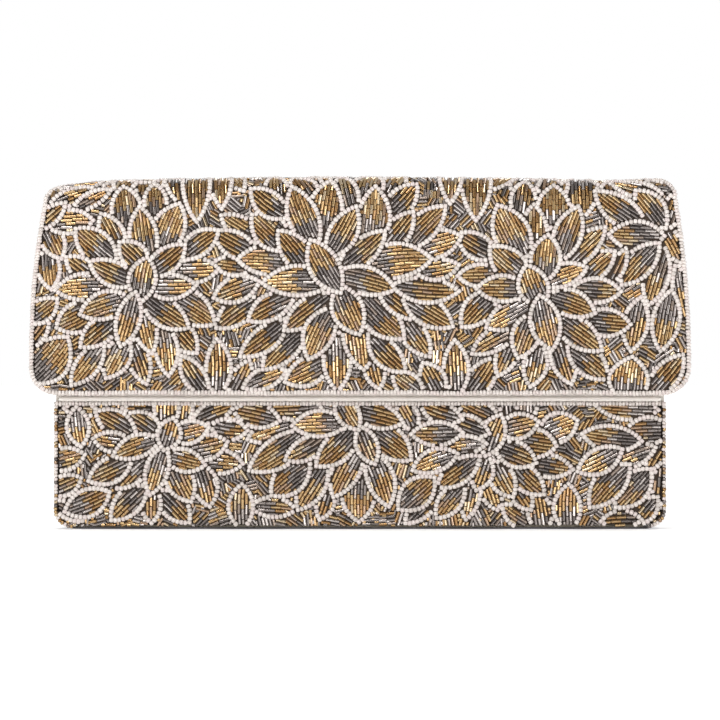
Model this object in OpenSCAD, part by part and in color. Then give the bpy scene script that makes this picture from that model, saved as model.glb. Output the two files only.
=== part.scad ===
// Beaded fold-over clutch purse: a stiffened cloth pouch whose embroidered back
// panel runs over the top, as a soft spine, and hangs down the front as a flap.
//
// Millimetres. X runs across the purse, the front faces -Y, and +Z is up.
// The origin is on the underside, at the middle of the closed purse's footprint.

/* [Purse] */
// Height from the underside to the top of the fold
total_h = 150; // [135:1:180]
// Width of the pouch
body_w = 260; // [220:1:300]
// Radius of the pouch's bottom corners
body_r = 8.5; // [4:0.5:14]
// Clear depth between the front and back linings
inner_d = 13; // [12:0.5:24]
// Height of the mouth, the top edge of the front panel
mouth_z = 138; // [126:1:139]

/* [Flap] */
// Widest width of the flap
flap_w = 280; // [270:1:320]
// Width across the fold at the top
fold_w = 268; // [262:1:300]
// Height of the flap's bottom edge
flap_z = 57; // [45:1:80]
// Radius of the flap's bottom corners
flap_r = 11.5; // [6:0.5:16]
// Height below which the flap's sides are straight
flare_z = 72; // [70:1:100]
// Outer radius of the soft folds at the top
fold_r = 8; // [8:0.5:9]
// Radius of the shoulders at the ends of the fold
shoulder_r = 8; // [3:0.5:8]
// Clear gap between the closed flap and the front beadwork
flap_gap = 0.6; // [0.5:0.1:1]

/* [Layers] */
// Height of the beadwork over its ground cloth
bead_t = 2; // [1.8:0.1:2.4]
// Thickness of the ground cloth and the satin
cloth_t = 0.5; // [0.3:0.1:0.6]
// Thickness of the padding
foam_t = 1.5; // [1.2:0.1:2]
// Thickness of the stiffening boards
board_t = 1.5; // [1.2:0.1:2]
// Thickness of the lining
lining_t = 0.5; // [0.3:0.1:0.6]
// Thickness of the satin that covers the base
base_t = 0.8; // [0.6:0.1:1]

/* [Edges] */
// Width of the row of beads whipped round the flap's edge
edge_bead = 2.2; // [1.8:0.1:2.6]
// Height of the bead row that finishes the front beadwork
border_h = 2.2; // [1.8:0.1:2.6]
// Height of the top of that row
border_z = 54.6; // [40:0.1:54.6]
// Radius of the satin piping under the flap's edge
piping_r = 1; // [0.8:0.1:1.2]
// Length of the piping
piping_w = 255; // [200:1:258]

/* [Inside] */
// Depth of the gussets' inward fold
gusset_fold = 14; // [8:0.5:20]
// Width of the slip pocket on the back wall
pocket_w = 120; // [80:1:180]
// Height of the slip pocket
pocket_h = 75; // [50:1:90]

/* [Magnetic snap] */
// Height of the snap's centre
snap_z = 84; // [72:1:110]
// Outer radius of the snap's two halves
snap_r = 7; // [7:0.5:9]
// Radius of the post on the flap's half
post_r = 2.4; // [2:0.1:2.5]

/* [Hidden] */
$fn = 64;

// Colours
bead_mix = [0.47, 0.38, 0.28];
seed_white = [0.93, 0.90, 0.88];
cream = [0.87, 0.82, 0.74];
ground = [0.27, 0.23, 0.20];
lining = [0.82, 0.76, 0.68];
grey_satin = [0.27, 0.26, 0.28];
card = [0.66, 0.60, 0.50];
foam = [0.92, 0.90, 0.84];
nickel = [0.78, 0.77, 0.75];
iron = [0.30, 0.30, 0.31];

// Depths, from the back of the purse to its front
back_t = bead_t + cloth_t + board_t + lining_t;
panel_t = back_t + foam_t;
total_d = back_t + inner_d + panel_t + flap_gap + panel_t;
back_y = total_d / 2;
back_in_y = back_y - back_t;
front_in_y = back_in_y - inner_d;
front_y = front_in_y - panel_t;
flap_in_y = front_y - flap_gap;
flap_y = -back_y;

// Heights
panel_z = base_t + 0.3;
fold_z = total_h - fold_r;
slack = 0.3;            // room between pieces that move apart
wrap = cloth_t;         // thickness of the cloth turned round a panel's edge
edge_in = 0.8;          // the wrapped edge lies this far inside the edge beads
binding_h = 4;          // how far the binding reaches down the front panel
board_in = edge_in + wrap;

// The folds: a quarter turn at the back and one at the front
fold_y = back_y - fold_r;
lining_r = fold_r - bead_t - cloth_t - lining_t;

// The snap
stud_t = 0.5;
socket_t = flap_gap + bead_t - stud_t - slack;
post_l = socket_t - slack;
bore_r = post_r + 0.5;
washer_t = 0.5;
leg_x = snap_r - 0.4;   // the middle of a leg, in the rim outside the magnet
leg_t = 0.5;
leg_w = 2.4;

steps = 10;             // straight lengths along a flared side
arc_steps = 8;          // straight lengths round a corner

// ---- outlines, seen from the front ----

function arc(cx, cz, r, from, to) = [
  for (i = [0 : arc_steps]) let (a = from + (to - from) * i / arc_steps)
    [cx + r * cos(a), cz + r * sin(a)]
];

// Closes the right-hand half of an outline, given from its top to its bottom.
function mirrored(half) = concat(
  half, [for (i = [len(half) - 1 : -1 : 0]) [-half[i][0], half[i][1]]]
);

// How far up the flared stretch a height is, squared: 0 at its foot, 1 at the fold
function rise(z, foot) = pow(max(0, (z - foot) / (fold_z - foot)), 2);

function flap_half_w(z) = flap_w / 2 - (flap_w - fold_w) / 2 * rise(z, flare_z);
function back_half_w(z) = body_w / 2 + (fold_w - body_w) / 2 * rise(z, border_z);

// The flap, drawn in by inset on its sides and bottom
function flap_outline(inset, top) = mirrored(concat(
  [for (i = [0 : steps]) let (z = top - (top - flare_z) * i / steps)
    [flap_half_w(z) - inset, z]],
  arc(flap_w / 2 - flap_r, flap_z + flap_r, flap_r - inset, 0, -90)
));

// The back panel, which widens towards the fold
function back_outline(inset, top) = mirrored(concat(
  [for (i = [0 : steps]) let (z = top - (top - border_z) * i / steps)
    [back_half_w(z) - inset, z]],
  arc(body_w / 2 - body_r, panel_z + body_r, body_r - inset, 0, -90)
));

// The front panel, which has straight sides
function front_outline(inset, top) = mirrored(concat(
  [[body_w / 2 - inset, top]],
  arc(body_w / 2 - body_r, panel_z + body_r, body_r - inset, 0, -90)
));

// The top of the purse above the panels, with its rounded shoulders
function top_outline() = mirrored(concat(
  arc(fold_w / 2 - shoulder_r, total_h - shoulder_r, shoulder_r, 90, 0),
  [[fold_w / 2, fold_z]]
));

// ---- building blocks ----

// Stands an outline up and gives it depth, from y0 at the front to y1 at the back.
module upright(y0, y1) translate([0, y1, 0]) rotate([90, 0, 0]) linear_extrude(y1 - y0) children();

// Runs a cross-section, drawn in Y and Z, across the purse from -w/2 to w/2.
module across(w) translate([-w / 2, 0, 0]) rotate([90, 0, 90]) linear_extrude(w) children();

// A round solid along Y, centred on the snap.
module snap_disc(r, y0, y1) translate([0, y1, snap_z]) rotate([90, 0, 0]) cylinder(h = y1 - y0, r = r);

// The snap's two bent prongs, or their slots when room is added.
module snap_legs(y0, y1, room = 0)
  for (side = [-1, 1])
    translate([side * leg_x, (y0 + y1) / 2, snap_z])
      cube([leg_t + room, y1 - y0, leg_w + room], center = true);

// A layer of one of the folds, between two radii, with the shoulders cut.
module fold_layer(r0, r1) intersection() {
  across(fold_w) translate([fold_y, fold_z]) intersection() {
    difference() { circle(r1); circle(r0); }
    square(fold_r);
  }
  upright(0, back_y) polygon(top_outline());
}

// A flat layer of the spine, between the folds.
module spine_layer(z0, z1) intersection() {
  across(fold_w) translate([-fold_y, z0]) square([2 * fold_y, z1 - z0]);
  upright(-back_y, back_y) polygon(top_outline());
}

// A slab over everything between two heights.
module band(z0, z1) translate([-flap_w, -total_d, z0]) cube([2 * flap_w, 2 * total_d, z1 - z0]);

// ---- the back panel and the base, which stand still ----

module back_beadwork() color(bead_mix)
  upright(back_y - bead_t, back_y) polygon(back_outline(0, fold_z));

module back_cloth() color(ground) difference() {
  upright(back_in_y + lining_t, back_y - bead_t) polygon(back_outline(edge_in, fold_z));
  upright(back_in_y, back_y - bead_t - cloth_t) polygon(back_outline(board_in, fold_z + 1));
}

module back_board() color(card)
  upright(back_in_y + lining_t, back_y - bead_t - cloth_t) polygon(back_outline(board_in, fold_z - lining_t));

module back_lining() color(lining) {
  upright(back_in_y, back_in_y + lining_t) polygon(back_outline(edge_in, fold_z));
  intersection() {
    upright(back_in_y, fold_y + lining_r) polygon(back_outline(board_in, fold_z));
    band(fold_z - lining_t, fold_z);
  }
}

module base_cloth() color(grey_satin) {
  flat_w = body_w - 2 * body_r;
  upright(front_y + slack * 2, back_y - lining_t) {
    translate([-flat_w / 2, 0]) square([flat_w, base_t]);
    for (side = [-1, 1]) translate([side * flat_w / 2, panel_z + body_r]) intersection() {
      difference() { circle(panel_z + body_r); circle(panel_z + body_r - base_t); }
      polygon([[0, 0], [side * 20, -11.5], [side * 20, -20], [0, -20]]);
    }
  }
}

module base_slab(z0, t)
  translate([-(body_w / 2 - body_r - 1), front_in_y + slack, z0])
    cube([body_w - 2 * body_r - 2, inner_d - slack, t]);

module base_board() color(card) base_slab(base_t, board_t);

module base_lining() color(lining) base_slab(base_t + board_t, lining_t);

module slip_pocket() color(cream) {
  foot = mouth_z - 25 - pocket_h;
  difference() {
    translate([-pocket_w / 2, back_in_y - 1.1, foot]) cube([pocket_w, 1.1, pocket_h]);
    translate([-pocket_w / 2 + 0.8, back_in_y - 0.6, foot + 0.8]) cube([pocket_w - 1.6, 1, pocket_h]);
  }
}

// One side wall, folded inward along its middle.
module gusset(side) color(cream) {
  edge_x = body_w / 2 - board_in;
  middle_y = (front_in_y + slack + back_in_y) / 2;
  wall = cloth_t + 0.3;   // measured along X, across the slanting cloth
  foot = panel_z + body_r;
  translate([0, 0, foot]) linear_extrude(mouth_z - binding_h - slack - foot)
    polygon([for (p = [
      [edge_x, back_in_y], [edge_x - gusset_fold, middle_y], [edge_x, front_in_y + slack],
      [edge_x - wall, front_in_y + slack], [edge_x - gusset_fold - wall, middle_y],
      [edge_x - wall, back_in_y]
    ]) [side * p[0], p[1]]]);
}

// ---- the two soft folds ----

module rear_fold_beadwork() color(bead_mix) fold_layer(fold_r - bead_t, fold_r);
module rear_fold_cloth() color(ground) fold_layer(lining_r + lining_t, fold_r - bead_t);
module rear_fold_lining() color(lining) fold_layer(lining_r, lining_r + lining_t);

module front_fold_beadwork() mirror([0, 1, 0]) rear_fold_beadwork();
module front_fold_cloth() mirror([0, 1, 0]) rear_fold_cloth();
module front_fold_lining() mirror([0, 1, 0]) rear_fold_lining();

// ---- the spine between the folds ----

module spine_beadwork() color(bead_mix) spine_layer(total_h - bead_t, total_h);
module spine_cloth() color(ground) spine_layer(total_h - bead_t - cloth_t, total_h - bead_t);
module spine_lining() color(lining)
  spine_layer(total_h - bead_t - cloth_t - lining_t, total_h - bead_t - cloth_t);

// ---- the front panel ----

// The whole cloth face of the front panel, turned back round its sides and bottom.
module front_face() difference() {
  upright(front_y + bead_t, front_in_y - lining_t) polygon(front_outline(edge_in, mouth_z));
  upright(front_y + bead_t + cloth_t, front_in_y) polygon(front_outline(board_in, mouth_z + 1));
}

module front_beadwork() color(bead_mix) intersection() {
  upright(front_y, front_y + bead_t) polygon(front_outline(0, mouth_z));
  band(0, border_z - border_h);
}

module front_bead_border() color(seed_white) intersection() {
  upright(front_y, front_y + bead_t) polygon(front_outline(0, mouth_z));
  band(border_z - border_h, border_z);
}

module front_cloth() color(ground) intersection() {
  front_face();
  band(0, border_z);
}

module front_satin_yoke() color(cream) difference() {
  intersection() {
    front_face();
    band(border_z, mouth_z);
  }
  snap_legs(front_y + bead_t - 1, front_in_y, 0.1);
}

module front_padding() color(foam) difference() {
  upright(front_y + bead_t + cloth_t, front_in_y - lining_t - board_t) polygon(front_outline(board_in, mouth_z));
  snap_legs(front_y + bead_t, front_in_y, 0.1);
  snap_disc(snap_r + 1.1, front_in_y - lining_t - board_t - washer_t, front_in_y);
}

module front_board() color(card)
  upright(front_in_y - lining_t - board_t, front_in_y - lining_t) polygon(front_outline(board_in, mouth_z));

module front_lining() color(lining)
  upright(front_in_y - lining_t, front_in_y) polygon(front_outline(edge_in, mouth_z));

module mouth_binding() color(cream) difference() {
  translate([-body_w / 2 + edge_in, front_y + bead_t - cloth_t, mouth_z - binding_h])
    cube([body_w - 2 * edge_in, panel_t - bead_t + 2 * cloth_t, binding_h + cloth_t]);
  translate([-body_w / 2, front_y + bead_t, mouth_z - binding_h - 1])
    cube([body_w, panel_t - bead_t, binding_h + 1]);
}

module snap_socket() {
  face = front_y + bead_t;
  color(nickel) {
    difference() {
      snap_disc(snap_r, face - socket_t, face);
      snap_disc(bore_r, face - socket_t - 1, face - 0.2);
      difference() {
        snap_disc(snap_r - 0.9, face - 1.2, face + 1);
        snap_disc(bore_r + 0.5, face - 2, face + 2);
      }
    }
    snap_legs(face, front_in_y - lining_t - board_t);
  }
}

module snap_magnet() {
  face = front_y + bead_t;
  color(iron) difference() {
    snap_disc(snap_r - 0.95, face - 1.15, face);
    snap_disc(bore_r + 0.55, face - 2, face + 1);
  }
}

module snap_washer(y0) difference() {
  snap_disc(snap_r + 1, y0, y0 + washer_t);
  snap_legs(y0 - 1, y0 + washer_t + 1, 0.1);
  snap_disc(1.5, y0 - 1, y0 + washer_t + 1);
}

module snap_socket_washer() color(nickel) snap_washer(front_in_y - lining_t - board_t - washer_t);

// ---- the flap ----

module flap_beadwork() color(bead_mix)
  upright(flap_y, flap_y + bead_t) polygon(flap_outline(edge_bead, fold_z));

module flap_edge_beads() color(seed_white) upright(flap_y, flap_y + bead_t) difference() {
  polygon(flap_outline(0, fold_z));
  polygon(flap_outline(edge_bead, fold_z + 1));
}

module flap_cloth() color(ground) difference() {
  upright(flap_y + bead_t, flap_in_y - lining_t) polygon(flap_outline(edge_in, fold_z));
  upright(flap_y + bead_t + cloth_t, flap_in_y) polygon(flap_outline(board_in, fold_z + 1));
  piping_flange(0.05);
}

module flap_padding() color(foam) difference() {
  upright(flap_y + bead_t + cloth_t, flap_in_y - lining_t - board_t)
    polygon(flap_outline(board_in, fold_z - lining_t));
  snap_disc(snap_r + 1.1, flap_in_y - lining_t - board_t - washer_t, flap_in_y);
}

module flap_board() color(card) difference() {
  upright(flap_in_y - lining_t - board_t, flap_in_y - lining_t)
    polygon(flap_outline(board_in, fold_z - lining_t));
  snap_legs(flap_y, flap_in_y, 0.1);
  piping_flange(0.05);
}

module flap_lining() color(lining) {
  difference() {
    upright(flap_in_y - lining_t, flap_in_y) polygon(flap_outline(edge_in, fold_z));
    snap_legs(flap_y, flap_in_y + 1, 0.1);
  }
  intersection() {
    upright(-fold_y - lining_r, flap_in_y) polygon(flap_outline(board_in, fold_z));
    band(fold_z - lining_t, fold_z);
  }
}

// The piping's sewn tail, which goes up between the flap's board and lining.
module piping_flange(room = 0)
  translate([-piping_w / 2 - room, flap_in_y - lining_t - 0.4 - room, flap_z - piping_r])
    cube([piping_w + 2 * room, 0.4 + room, 6 + room]);

module piping_round(r) across(piping_w)
  translate([flap_in_y - lining_t - 0.7, flap_z - 0.6 - piping_r]) circle(r, $fn = 32);

module flap_piping() color(cream) difference() {
  union() {
    piping_round(piping_r);
    piping_flange();
  }
  piping_round(piping_r - 0.3);
}

module flap_piping_cord() color(foam) piping_round(piping_r - 0.3);

module snap_stud() color(nickel) {
  snap_disc(snap_r, flap_in_y, flap_in_y + stud_t);
  snap_disc(post_r, flap_in_y + stud_t, flap_in_y + stud_t + post_l);
  snap_legs(flap_in_y - lining_t - board_t - washer_t, flap_in_y);
}

module snap_stud_washer() color(nickel) snap_washer(flap_in_y - lining_t - board_t - washer_t);

back_cloth();
back_board();
back_lining();
back_beadwork();
base_board();
base_cloth();
base_lining();
slip_pocket();
gusset(-1);  // gusset_left
gusset(1);  // gusset_right
rear_fold_cloth();
rear_fold_lining();
rear_fold_beadwork();
front_cloth();
front_board();
front_padding();
front_lining();
front_satin_yoke();
front_beadwork();
front_bead_border();
mouth_binding();
snap_socket();
snap_magnet();
snap_socket_washer();
spine_cloth();
spine_lining();
spine_beadwork();
front_fold_cloth();
front_fold_lining();
front_fold_beadwork();
flap_cloth();
flap_board();
flap_padding();
flap_lining();
flap_beadwork();
flap_edge_beads();
flap_piping();
flap_piping_cord();
snap_stud();
snap_stud_washer();
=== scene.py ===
"""A beaded fold-over clutch purse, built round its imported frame.

Lengths are millimetres in the frame's own axes until a mesh is made: X runs across the
purse, the front faces -Y and +Z is up. The cloth that carries the beads is one strip. It is
laid out flat here as u, across the purse, and v, along the cloth: up the flap, over the top
and down the back. The front panel has a bed of its own, where v is the height.
"""

import math

import bpy
import numpy as np
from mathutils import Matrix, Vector


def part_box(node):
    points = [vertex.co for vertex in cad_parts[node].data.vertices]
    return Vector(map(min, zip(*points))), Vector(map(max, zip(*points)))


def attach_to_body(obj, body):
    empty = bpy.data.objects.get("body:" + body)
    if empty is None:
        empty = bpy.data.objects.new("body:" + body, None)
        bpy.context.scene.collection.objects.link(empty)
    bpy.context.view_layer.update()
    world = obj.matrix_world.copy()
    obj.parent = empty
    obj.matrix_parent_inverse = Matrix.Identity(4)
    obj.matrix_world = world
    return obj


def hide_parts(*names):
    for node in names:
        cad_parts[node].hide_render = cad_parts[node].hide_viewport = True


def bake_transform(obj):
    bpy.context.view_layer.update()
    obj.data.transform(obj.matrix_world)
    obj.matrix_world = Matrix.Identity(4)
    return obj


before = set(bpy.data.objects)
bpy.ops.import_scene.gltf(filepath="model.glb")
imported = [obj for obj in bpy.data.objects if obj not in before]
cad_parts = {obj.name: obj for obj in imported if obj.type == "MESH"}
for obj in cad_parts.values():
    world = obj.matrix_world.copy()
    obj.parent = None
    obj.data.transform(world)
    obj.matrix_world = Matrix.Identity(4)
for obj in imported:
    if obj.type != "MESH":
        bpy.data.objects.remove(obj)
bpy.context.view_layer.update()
MM = 0.001
rng = np.random.default_rng(2024)


def low(node):
    """A CAD node's lowest corner, in millimetres."""
    return np.array(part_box(node)[0]) / MM


def high(node):
    """A CAD node's highest corner, in millimetres."""
    return np.array(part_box(node)[1]) / MM


# ---- sizes, from the frame ----

BEAD_T = high("back_beadwork")[1] - low("back_beadwork")[1]
TOTAL_H = high("spine_beadwork")[2]
FOLD_Z = high("flap_cloth")[2]
FOLD_R = TOTAL_H - FOLD_Z
FOLD_Y = high("spine_beadwork")[1]
BACK_Y = high("back_beadwork")[1]
BACK_FACE = BACK_Y - BEAD_T
BACK_IN = low("back_lining")[1]
FLAP_FACE = low("flap_beadwork")[1] + BEAD_T
FLAP_IN = high("flap_lining")[1]
FLAP_HALF = high("flap_edge_beads")[0]
FLAP_Z = low("flap_edge_beads")[2]
FOLD_HALF = high("front_fold_beadwork")[0]
BODY_HALF = high("front_beadwork")[0]
PANEL_Z = low("front_beadwork")[2]
FRONT_Y = low("front_beadwork")[1]
FRONT_FACE = FRONT_Y + BEAD_T
FRONT_IN = high("front_lining")[1]
MOUTH_Z = high("front_board")[2]
BORDER_TOP = high("front_bead_border")[2]
BORDER_FOOT = low("front_bead_border")[2]
# Thicknesses, where the flap starts to narrow, and the radii of the corners and the lining's fold
CLOTH_T = 0.5
LINING_T = 0.5
FLARE_Z = 72
FLAP_R = 11.5
BODY_R = 8.5
SHOULDER_R = 8
LINING_R = FOLD_R - BEAD_T - CLOTH_T - LINING_T
# The droop of the top at its ends, how much it differs between them, and where each sets in
DROOP = 2.4
DROOP_LEAN, LEAN_FROM, LEAN_RUN = 1.6, 104, 28
DROOP_FROM_Z, DROOP_RUN_Z = 88, 62

# ---- the strip of cloth ----

GROUND_R = FOLD_R - BEAD_T
BEAD_R = FOLD_R - BEAD_T / 2
V_FLAP = FOLD_Z
V_FOLD = V_FLAP + BEAD_R * math.pi / 2
V_SPINE = V_FOLD + 2 * FOLD_Y
V_REAR = V_SPINE + BEAD_R * math.pi / 2
V_END = V_REAR + FOLD_Z - PANEL_Z


def smooth(t):
    t = np.clip(t, 0, 1)
    return t * t * (3 - 2 * t)


def round_foot(half, z, foot, radius):
    """Half a panel's width at a height, given what it would be if its lower corners were square."""
    corner = np.clip(foot + radius - z, 0, radius)
    return half - radius + np.sqrt(radius ** 2 - corner ** 2)


def flap_half(z):
    """Half the flap's width at a height."""
    flare = np.clip((z - FLARE_Z) / (FOLD_Z - FLARE_Z), 0, 1) ** 2
    return round_foot(FLAP_HALF - (FLAP_HALF - FOLD_HALF) * flare, z, FLAP_Z, FLAP_R)


def back_half(z):
    """Half the back panel's width at a height."""
    flare = np.clip((z - BORDER_TOP) / (FOLD_Z - BORDER_TOP), 0, 1) ** 2
    return round_foot(BODY_HALF + (FOLD_HALF - BODY_HALF) * flare, z, PANEL_Z, BODY_R)


def front_half(z):
    """Half the front panel's width at a height."""
    return round_foot(BODY_HALF, z, PANEL_Z, BODY_R)


def strip_half(v):
    """Half the strip's width at a place along it."""
    turn = strip_turn(v)
    top = FOLD_HALF - SHOULDER_R + SHOULDER_R * np.abs(np.cos(turn))
    flap = flap_half(np.minimum(v, V_FLAP))
    back = back_half(np.minimum(FOLD_Z - (v - V_REAR), FOLD_Z))
    return np.where(v < V_FLAP, flap, np.where(v > V_REAR, back, top))


def strip_turn(v):
    """How far the cloth has turned over: 0 up the flap, a half turn down the back."""
    front = np.clip((v - V_FLAP) / BEAD_R, 0, math.pi / 2)
    rear = np.clip((v - V_SPINE) / BEAD_R, 0, math.pi / 2)
    return front + rear


def puff(most, foot, top, half):
    """How far a panel's padding lifts its face, as a function of a place on it."""
    def lift(u, z):
        along = np.sin(np.pi * np.clip((z - foot) / (top - foot), 0, 1)) ** 2
        return most * along * np.clip(1 - (u / half) ** 4, 0, 1)
    return lift


flap_puff = puff(0.9, FLAP_Z, FOLD_Z, FLAP_HALF)
back_puff = puff(0.6, PANEL_Z, FOLD_Z, BODY_HALF)
front_puff = puff(0.9, PANEL_Z, BORDER_FOOT, BODY_HALF)


def crowned(points):
    """The top of the purse droops a little towards its ends, more on the left than on the right."""
    out = np.array(points, float)
    x = out[:, 0]
    lean = DROOP_LEAN * np.sign(x) * smooth((np.abs(x) - LEAN_FROM) / LEAN_RUN)
    droop = DROOP * (x / FOLD_HALF) ** 2 - lean
    out[:, 2] -= droop * smooth((out[:, 2] - DROOP_FROM_Z) / DROOP_RUN_Z)
    return out


def strip_place(u, v, h):
    """Points of the strip h above its ground cloth, and there its directions along v and out."""
    turn = strip_turn(v)
    sin, cos = np.sin(turn), np.cos(turn)
    centre = np.where(v < (V_FOLD + V_SPINE) / 2, -FOLD_Y, FOLD_Y)
    y = centre - GROUND_R * cos
    flat = (v > V_FOLD) & (v < V_SPINE)
    y = np.where(flat, -FOLD_Y + v - V_FOLD, y)
    z = FOLD_Z + GROUND_R * sin
    z = np.where(v < V_FLAP, v, np.where(v > V_REAR, FOLD_Z - (v - V_REAR), z))
    lift = np.where(v < V_FLAP, flap_puff(u, v), np.where(v > V_REAR, back_puff(u, z), 0))
    h = h + lift
    zero = np.zeros_like(u)
    out = np.stack([zero, -cos, sin], 1)
    along = np.stack([zero, sin, cos], 1)
    points = np.stack([u, y, z], 1) + out * h[:, None]
    return crowned(points), along, out


def front_place(u, v, h):
    """The same for the front panel, where v is the height."""
    zero = np.zeros_like(u)
    out = np.stack([zero, zero - 1, zero], 1)
    along = np.stack([zero, zero, zero + 1], 1)
    points = np.stack([u, FRONT_FACE - h - front_puff(u, v), v], 1)
    return points, along, out


# ---- petals: (foot u, foot v, tip u, tip v, width), front ones first ----

FLAP_LEFT = [
    (-95, 100, -101, 78.5, 8.5), (-93, 97, -90, 115, 10), (-100, 97, -117.5, 91.5, 10),
    (-97, 106, -113.5, 114, 9), (-92, 113, -101, 122, 9), (-88, 110, -74.5, 120.5, 9),
    (-88, 103.5, -70, 103.5, 9), (-89.5, 97.5, -73, 86, 10), (-91.5, 93, -88, 75.5, 8),
    (-108, 103, -128, 102, 10), (-81, 99, -62, 87.5, 12), (-89.5, 116, -93, 137, 10),
    (-83, 120, -76.5, 138, 12), (-104, 89, -117.5, 78, 9), (-114, 93, -127.5, 86, 11),
    (-113, 108.5, -123.5, 116.5, 7.5), (-105.5, 116, -119.5, 129, 11), (-102, 119.5, -109, 134.5, 8.5),
    (-98.5, 131, -100, 146, 11), (-86, 135, -87, 147, 8), (-70, 161, -69, 131.5, 10),
    (-60, 160, -58.5, 137, 8), (-135, 132, -125, 141, 6), (-129, 132, -113.5, 132.5, 9),
    (-132, 129, -126.5, 117, 8), (-132, 118, -130.5, 103, 8), (-138, 90, -128.5, 97.5, 8),
    (-139, 79, -132, 88.5, 6), (-138, 65, -124, 81, 15), (-110.5, 76.5, -121.5, 62, 8),
    (-100, 79, -107, 65, 9.5), (-96, 78, -90.5, 62.5, 7.5), (-83, 84, -81, 66, 8),
    (-79, 86, -69.5, 75.5, 9), (-66, 60, -75, 73, 7.5), (-60.5, 60, -60.5, 80, 9),
    (-53, 59, -47, 71, 7), (-73, 117, -60.5, 126.5, 8.5), (-46, 117.5, -61, 126, 9),
    (-76, 110, -60.5, 110.5, 9), (-49, 111, -61.5, 113, 6.5), (-46, 104, -61, 98.5, 9),
    (-46, 96, -60, 86, 9), (-44, 124, -58, 133, 8), (-119, 139, -106, 145, 5),
    (-128, 142, -114, 147, 6), (-124, 150, -110, 151, 8), (-93, 152, -82, 158, 9),
]
FLAP_MIDDLE = [
    (-8.5, 101, -20.5, 122, 11), (-9, 103, -0.5, 83.5, 11.5), (-7.5, 107.5, 14, 102, 10),
    (-15, 104.5, -40.5, 104.5, 11), (-22, 110.5, -34, 126, 10), (-12, 118, -2, 136, 10),
    (-7, 112, 10, 126, 9), (3, 111.5, 29.5, 114.5, 13), (-19.5, 123, -28.5, 144.5, 11),
    (4, 122, 6.5, 144.5, 12), (-16, 123.5, -12.5, 147.5, 13), (9.5, 119, 22, 134, 9),
    (21, 121, 35.5, 136.5, 9.5), (12, 134, 23.5, 146, 9), (25, 119, 42, 124, 10),
    (27, 109.5, 41, 112, 7), (17, 103, 41, 101, 9), (21, 97, 38.5, 86.5, 10),
    (10, 101, 24, 89.5, 7.5), (1.5, 98, 18, 81.5, 12), (19, 88, 29, 74, 8.5),
    (6, 80, 18.5, 67.5, 9), (-2, 92, 1.5, 68.5, 13), (-13, 91, -21.5, 73, 11),
    (-14.5, 98, -31.5, 85, 9), (-31, 97, -46.5, 89, 9), (-33, 87, -50, 74, 8.5),
    (-25, 83, -40.5, 68.5, 9.5), (-10, 81, -9.5, 59.5, 10), (-16, 71, -31, 63, 10),
    (-46, 61.5, -32, 67, 7), (5, 72, 8, 60.5, 7), (24, 59, 14.5, 66, 8),
    (33, 59, 27, 70, 9), (41, 60, 40, 79.5, 9), (-33, 134.5, -45.5, 144, 9),
    (-32.5, 121, -45, 133, 12), (-29.5, 113, -51, 114.5, 11), (-34.5, 140, -36, 152, 8),
    (-21, 140, -28, 150, 10), (-20, 144, -19, 152, 6), (-15, 144, -15, 152, 5),
    (-4, 135, -8, 151, 9), (3, 142, 6, 153, 11), (13, 143, 18, 153, 8),
    (39, 160, 38, 139, 8),
]
FLAP_RIGHT = [
    (76, 98.5, 81, 77, 11), (77, 95, 70.5, 111.5, 11), (68, 101.5, 50, 102, 9.5),
    (69.5, 108, 55.5, 119.5, 11), (78, 108.5, 79.5, 124.5, 11), (80, 105, 95, 111, 8),
    (82, 98, 98.5, 92, 9.5), (85, 88.5, 101.5, 76.5, 10), (73, 89, 67, 73.5, 10),
    (71, 95, 54, 86, 9.5), (68.5, 116.5, 58.5, 137, 13.5), (73, 117, 73.5, 137.5, 10),
    (85, 117, 92, 137, 10), (86, 112, 103, 128.5, 9), (97, 88.5, 113.5, 87, 10),
    (93, 102, 109.5, 101, 9), (55, 98, 43.5, 86.5, 10), (64, 83.5, 48, 75, 7.5),
    (55, 117.5, 42, 125, 9), (57, 108, 42, 107.5, 8), (95, 107, 107, 118, 8.5),
    (106, 106.5, 112, 119, 4.5), (124, 119, 111, 104.5, 10), (128, 116, 122, 96, 9),
    (131, 98, 127, 76.5, 10), (118, 95, 114.5, 76.5, 9), (125, 125, 106, 126, 11),
    (118, 131, 100, 144, 10), (127, 131, 117, 144, 9.5), (131, 131, 135.5, 144, 7),
    (126.5, 129, 135, 114, 7), (134.5, 110, 138.5, 88.5, 5), (131, 130, 137, 121, 5),
    (113.5, 57, 115, 72.5, 15), (124, 59.5, 136, 73.5, 9), (90.5, 75, 104, 64.5, 10),
    (83.5, 80, 89, 62.5, 9), (75, 76, 72, 61.5, 8.5), (64, 79, 58.5, 66, 7),
    (47, 59, 56, 72, 9), (50, 161, 49, 132, 11), (68, 135, 70, 148, 9),
    (82, 131, 82, 146, 12), (124, 144, 106, 150, 6),
]
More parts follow.
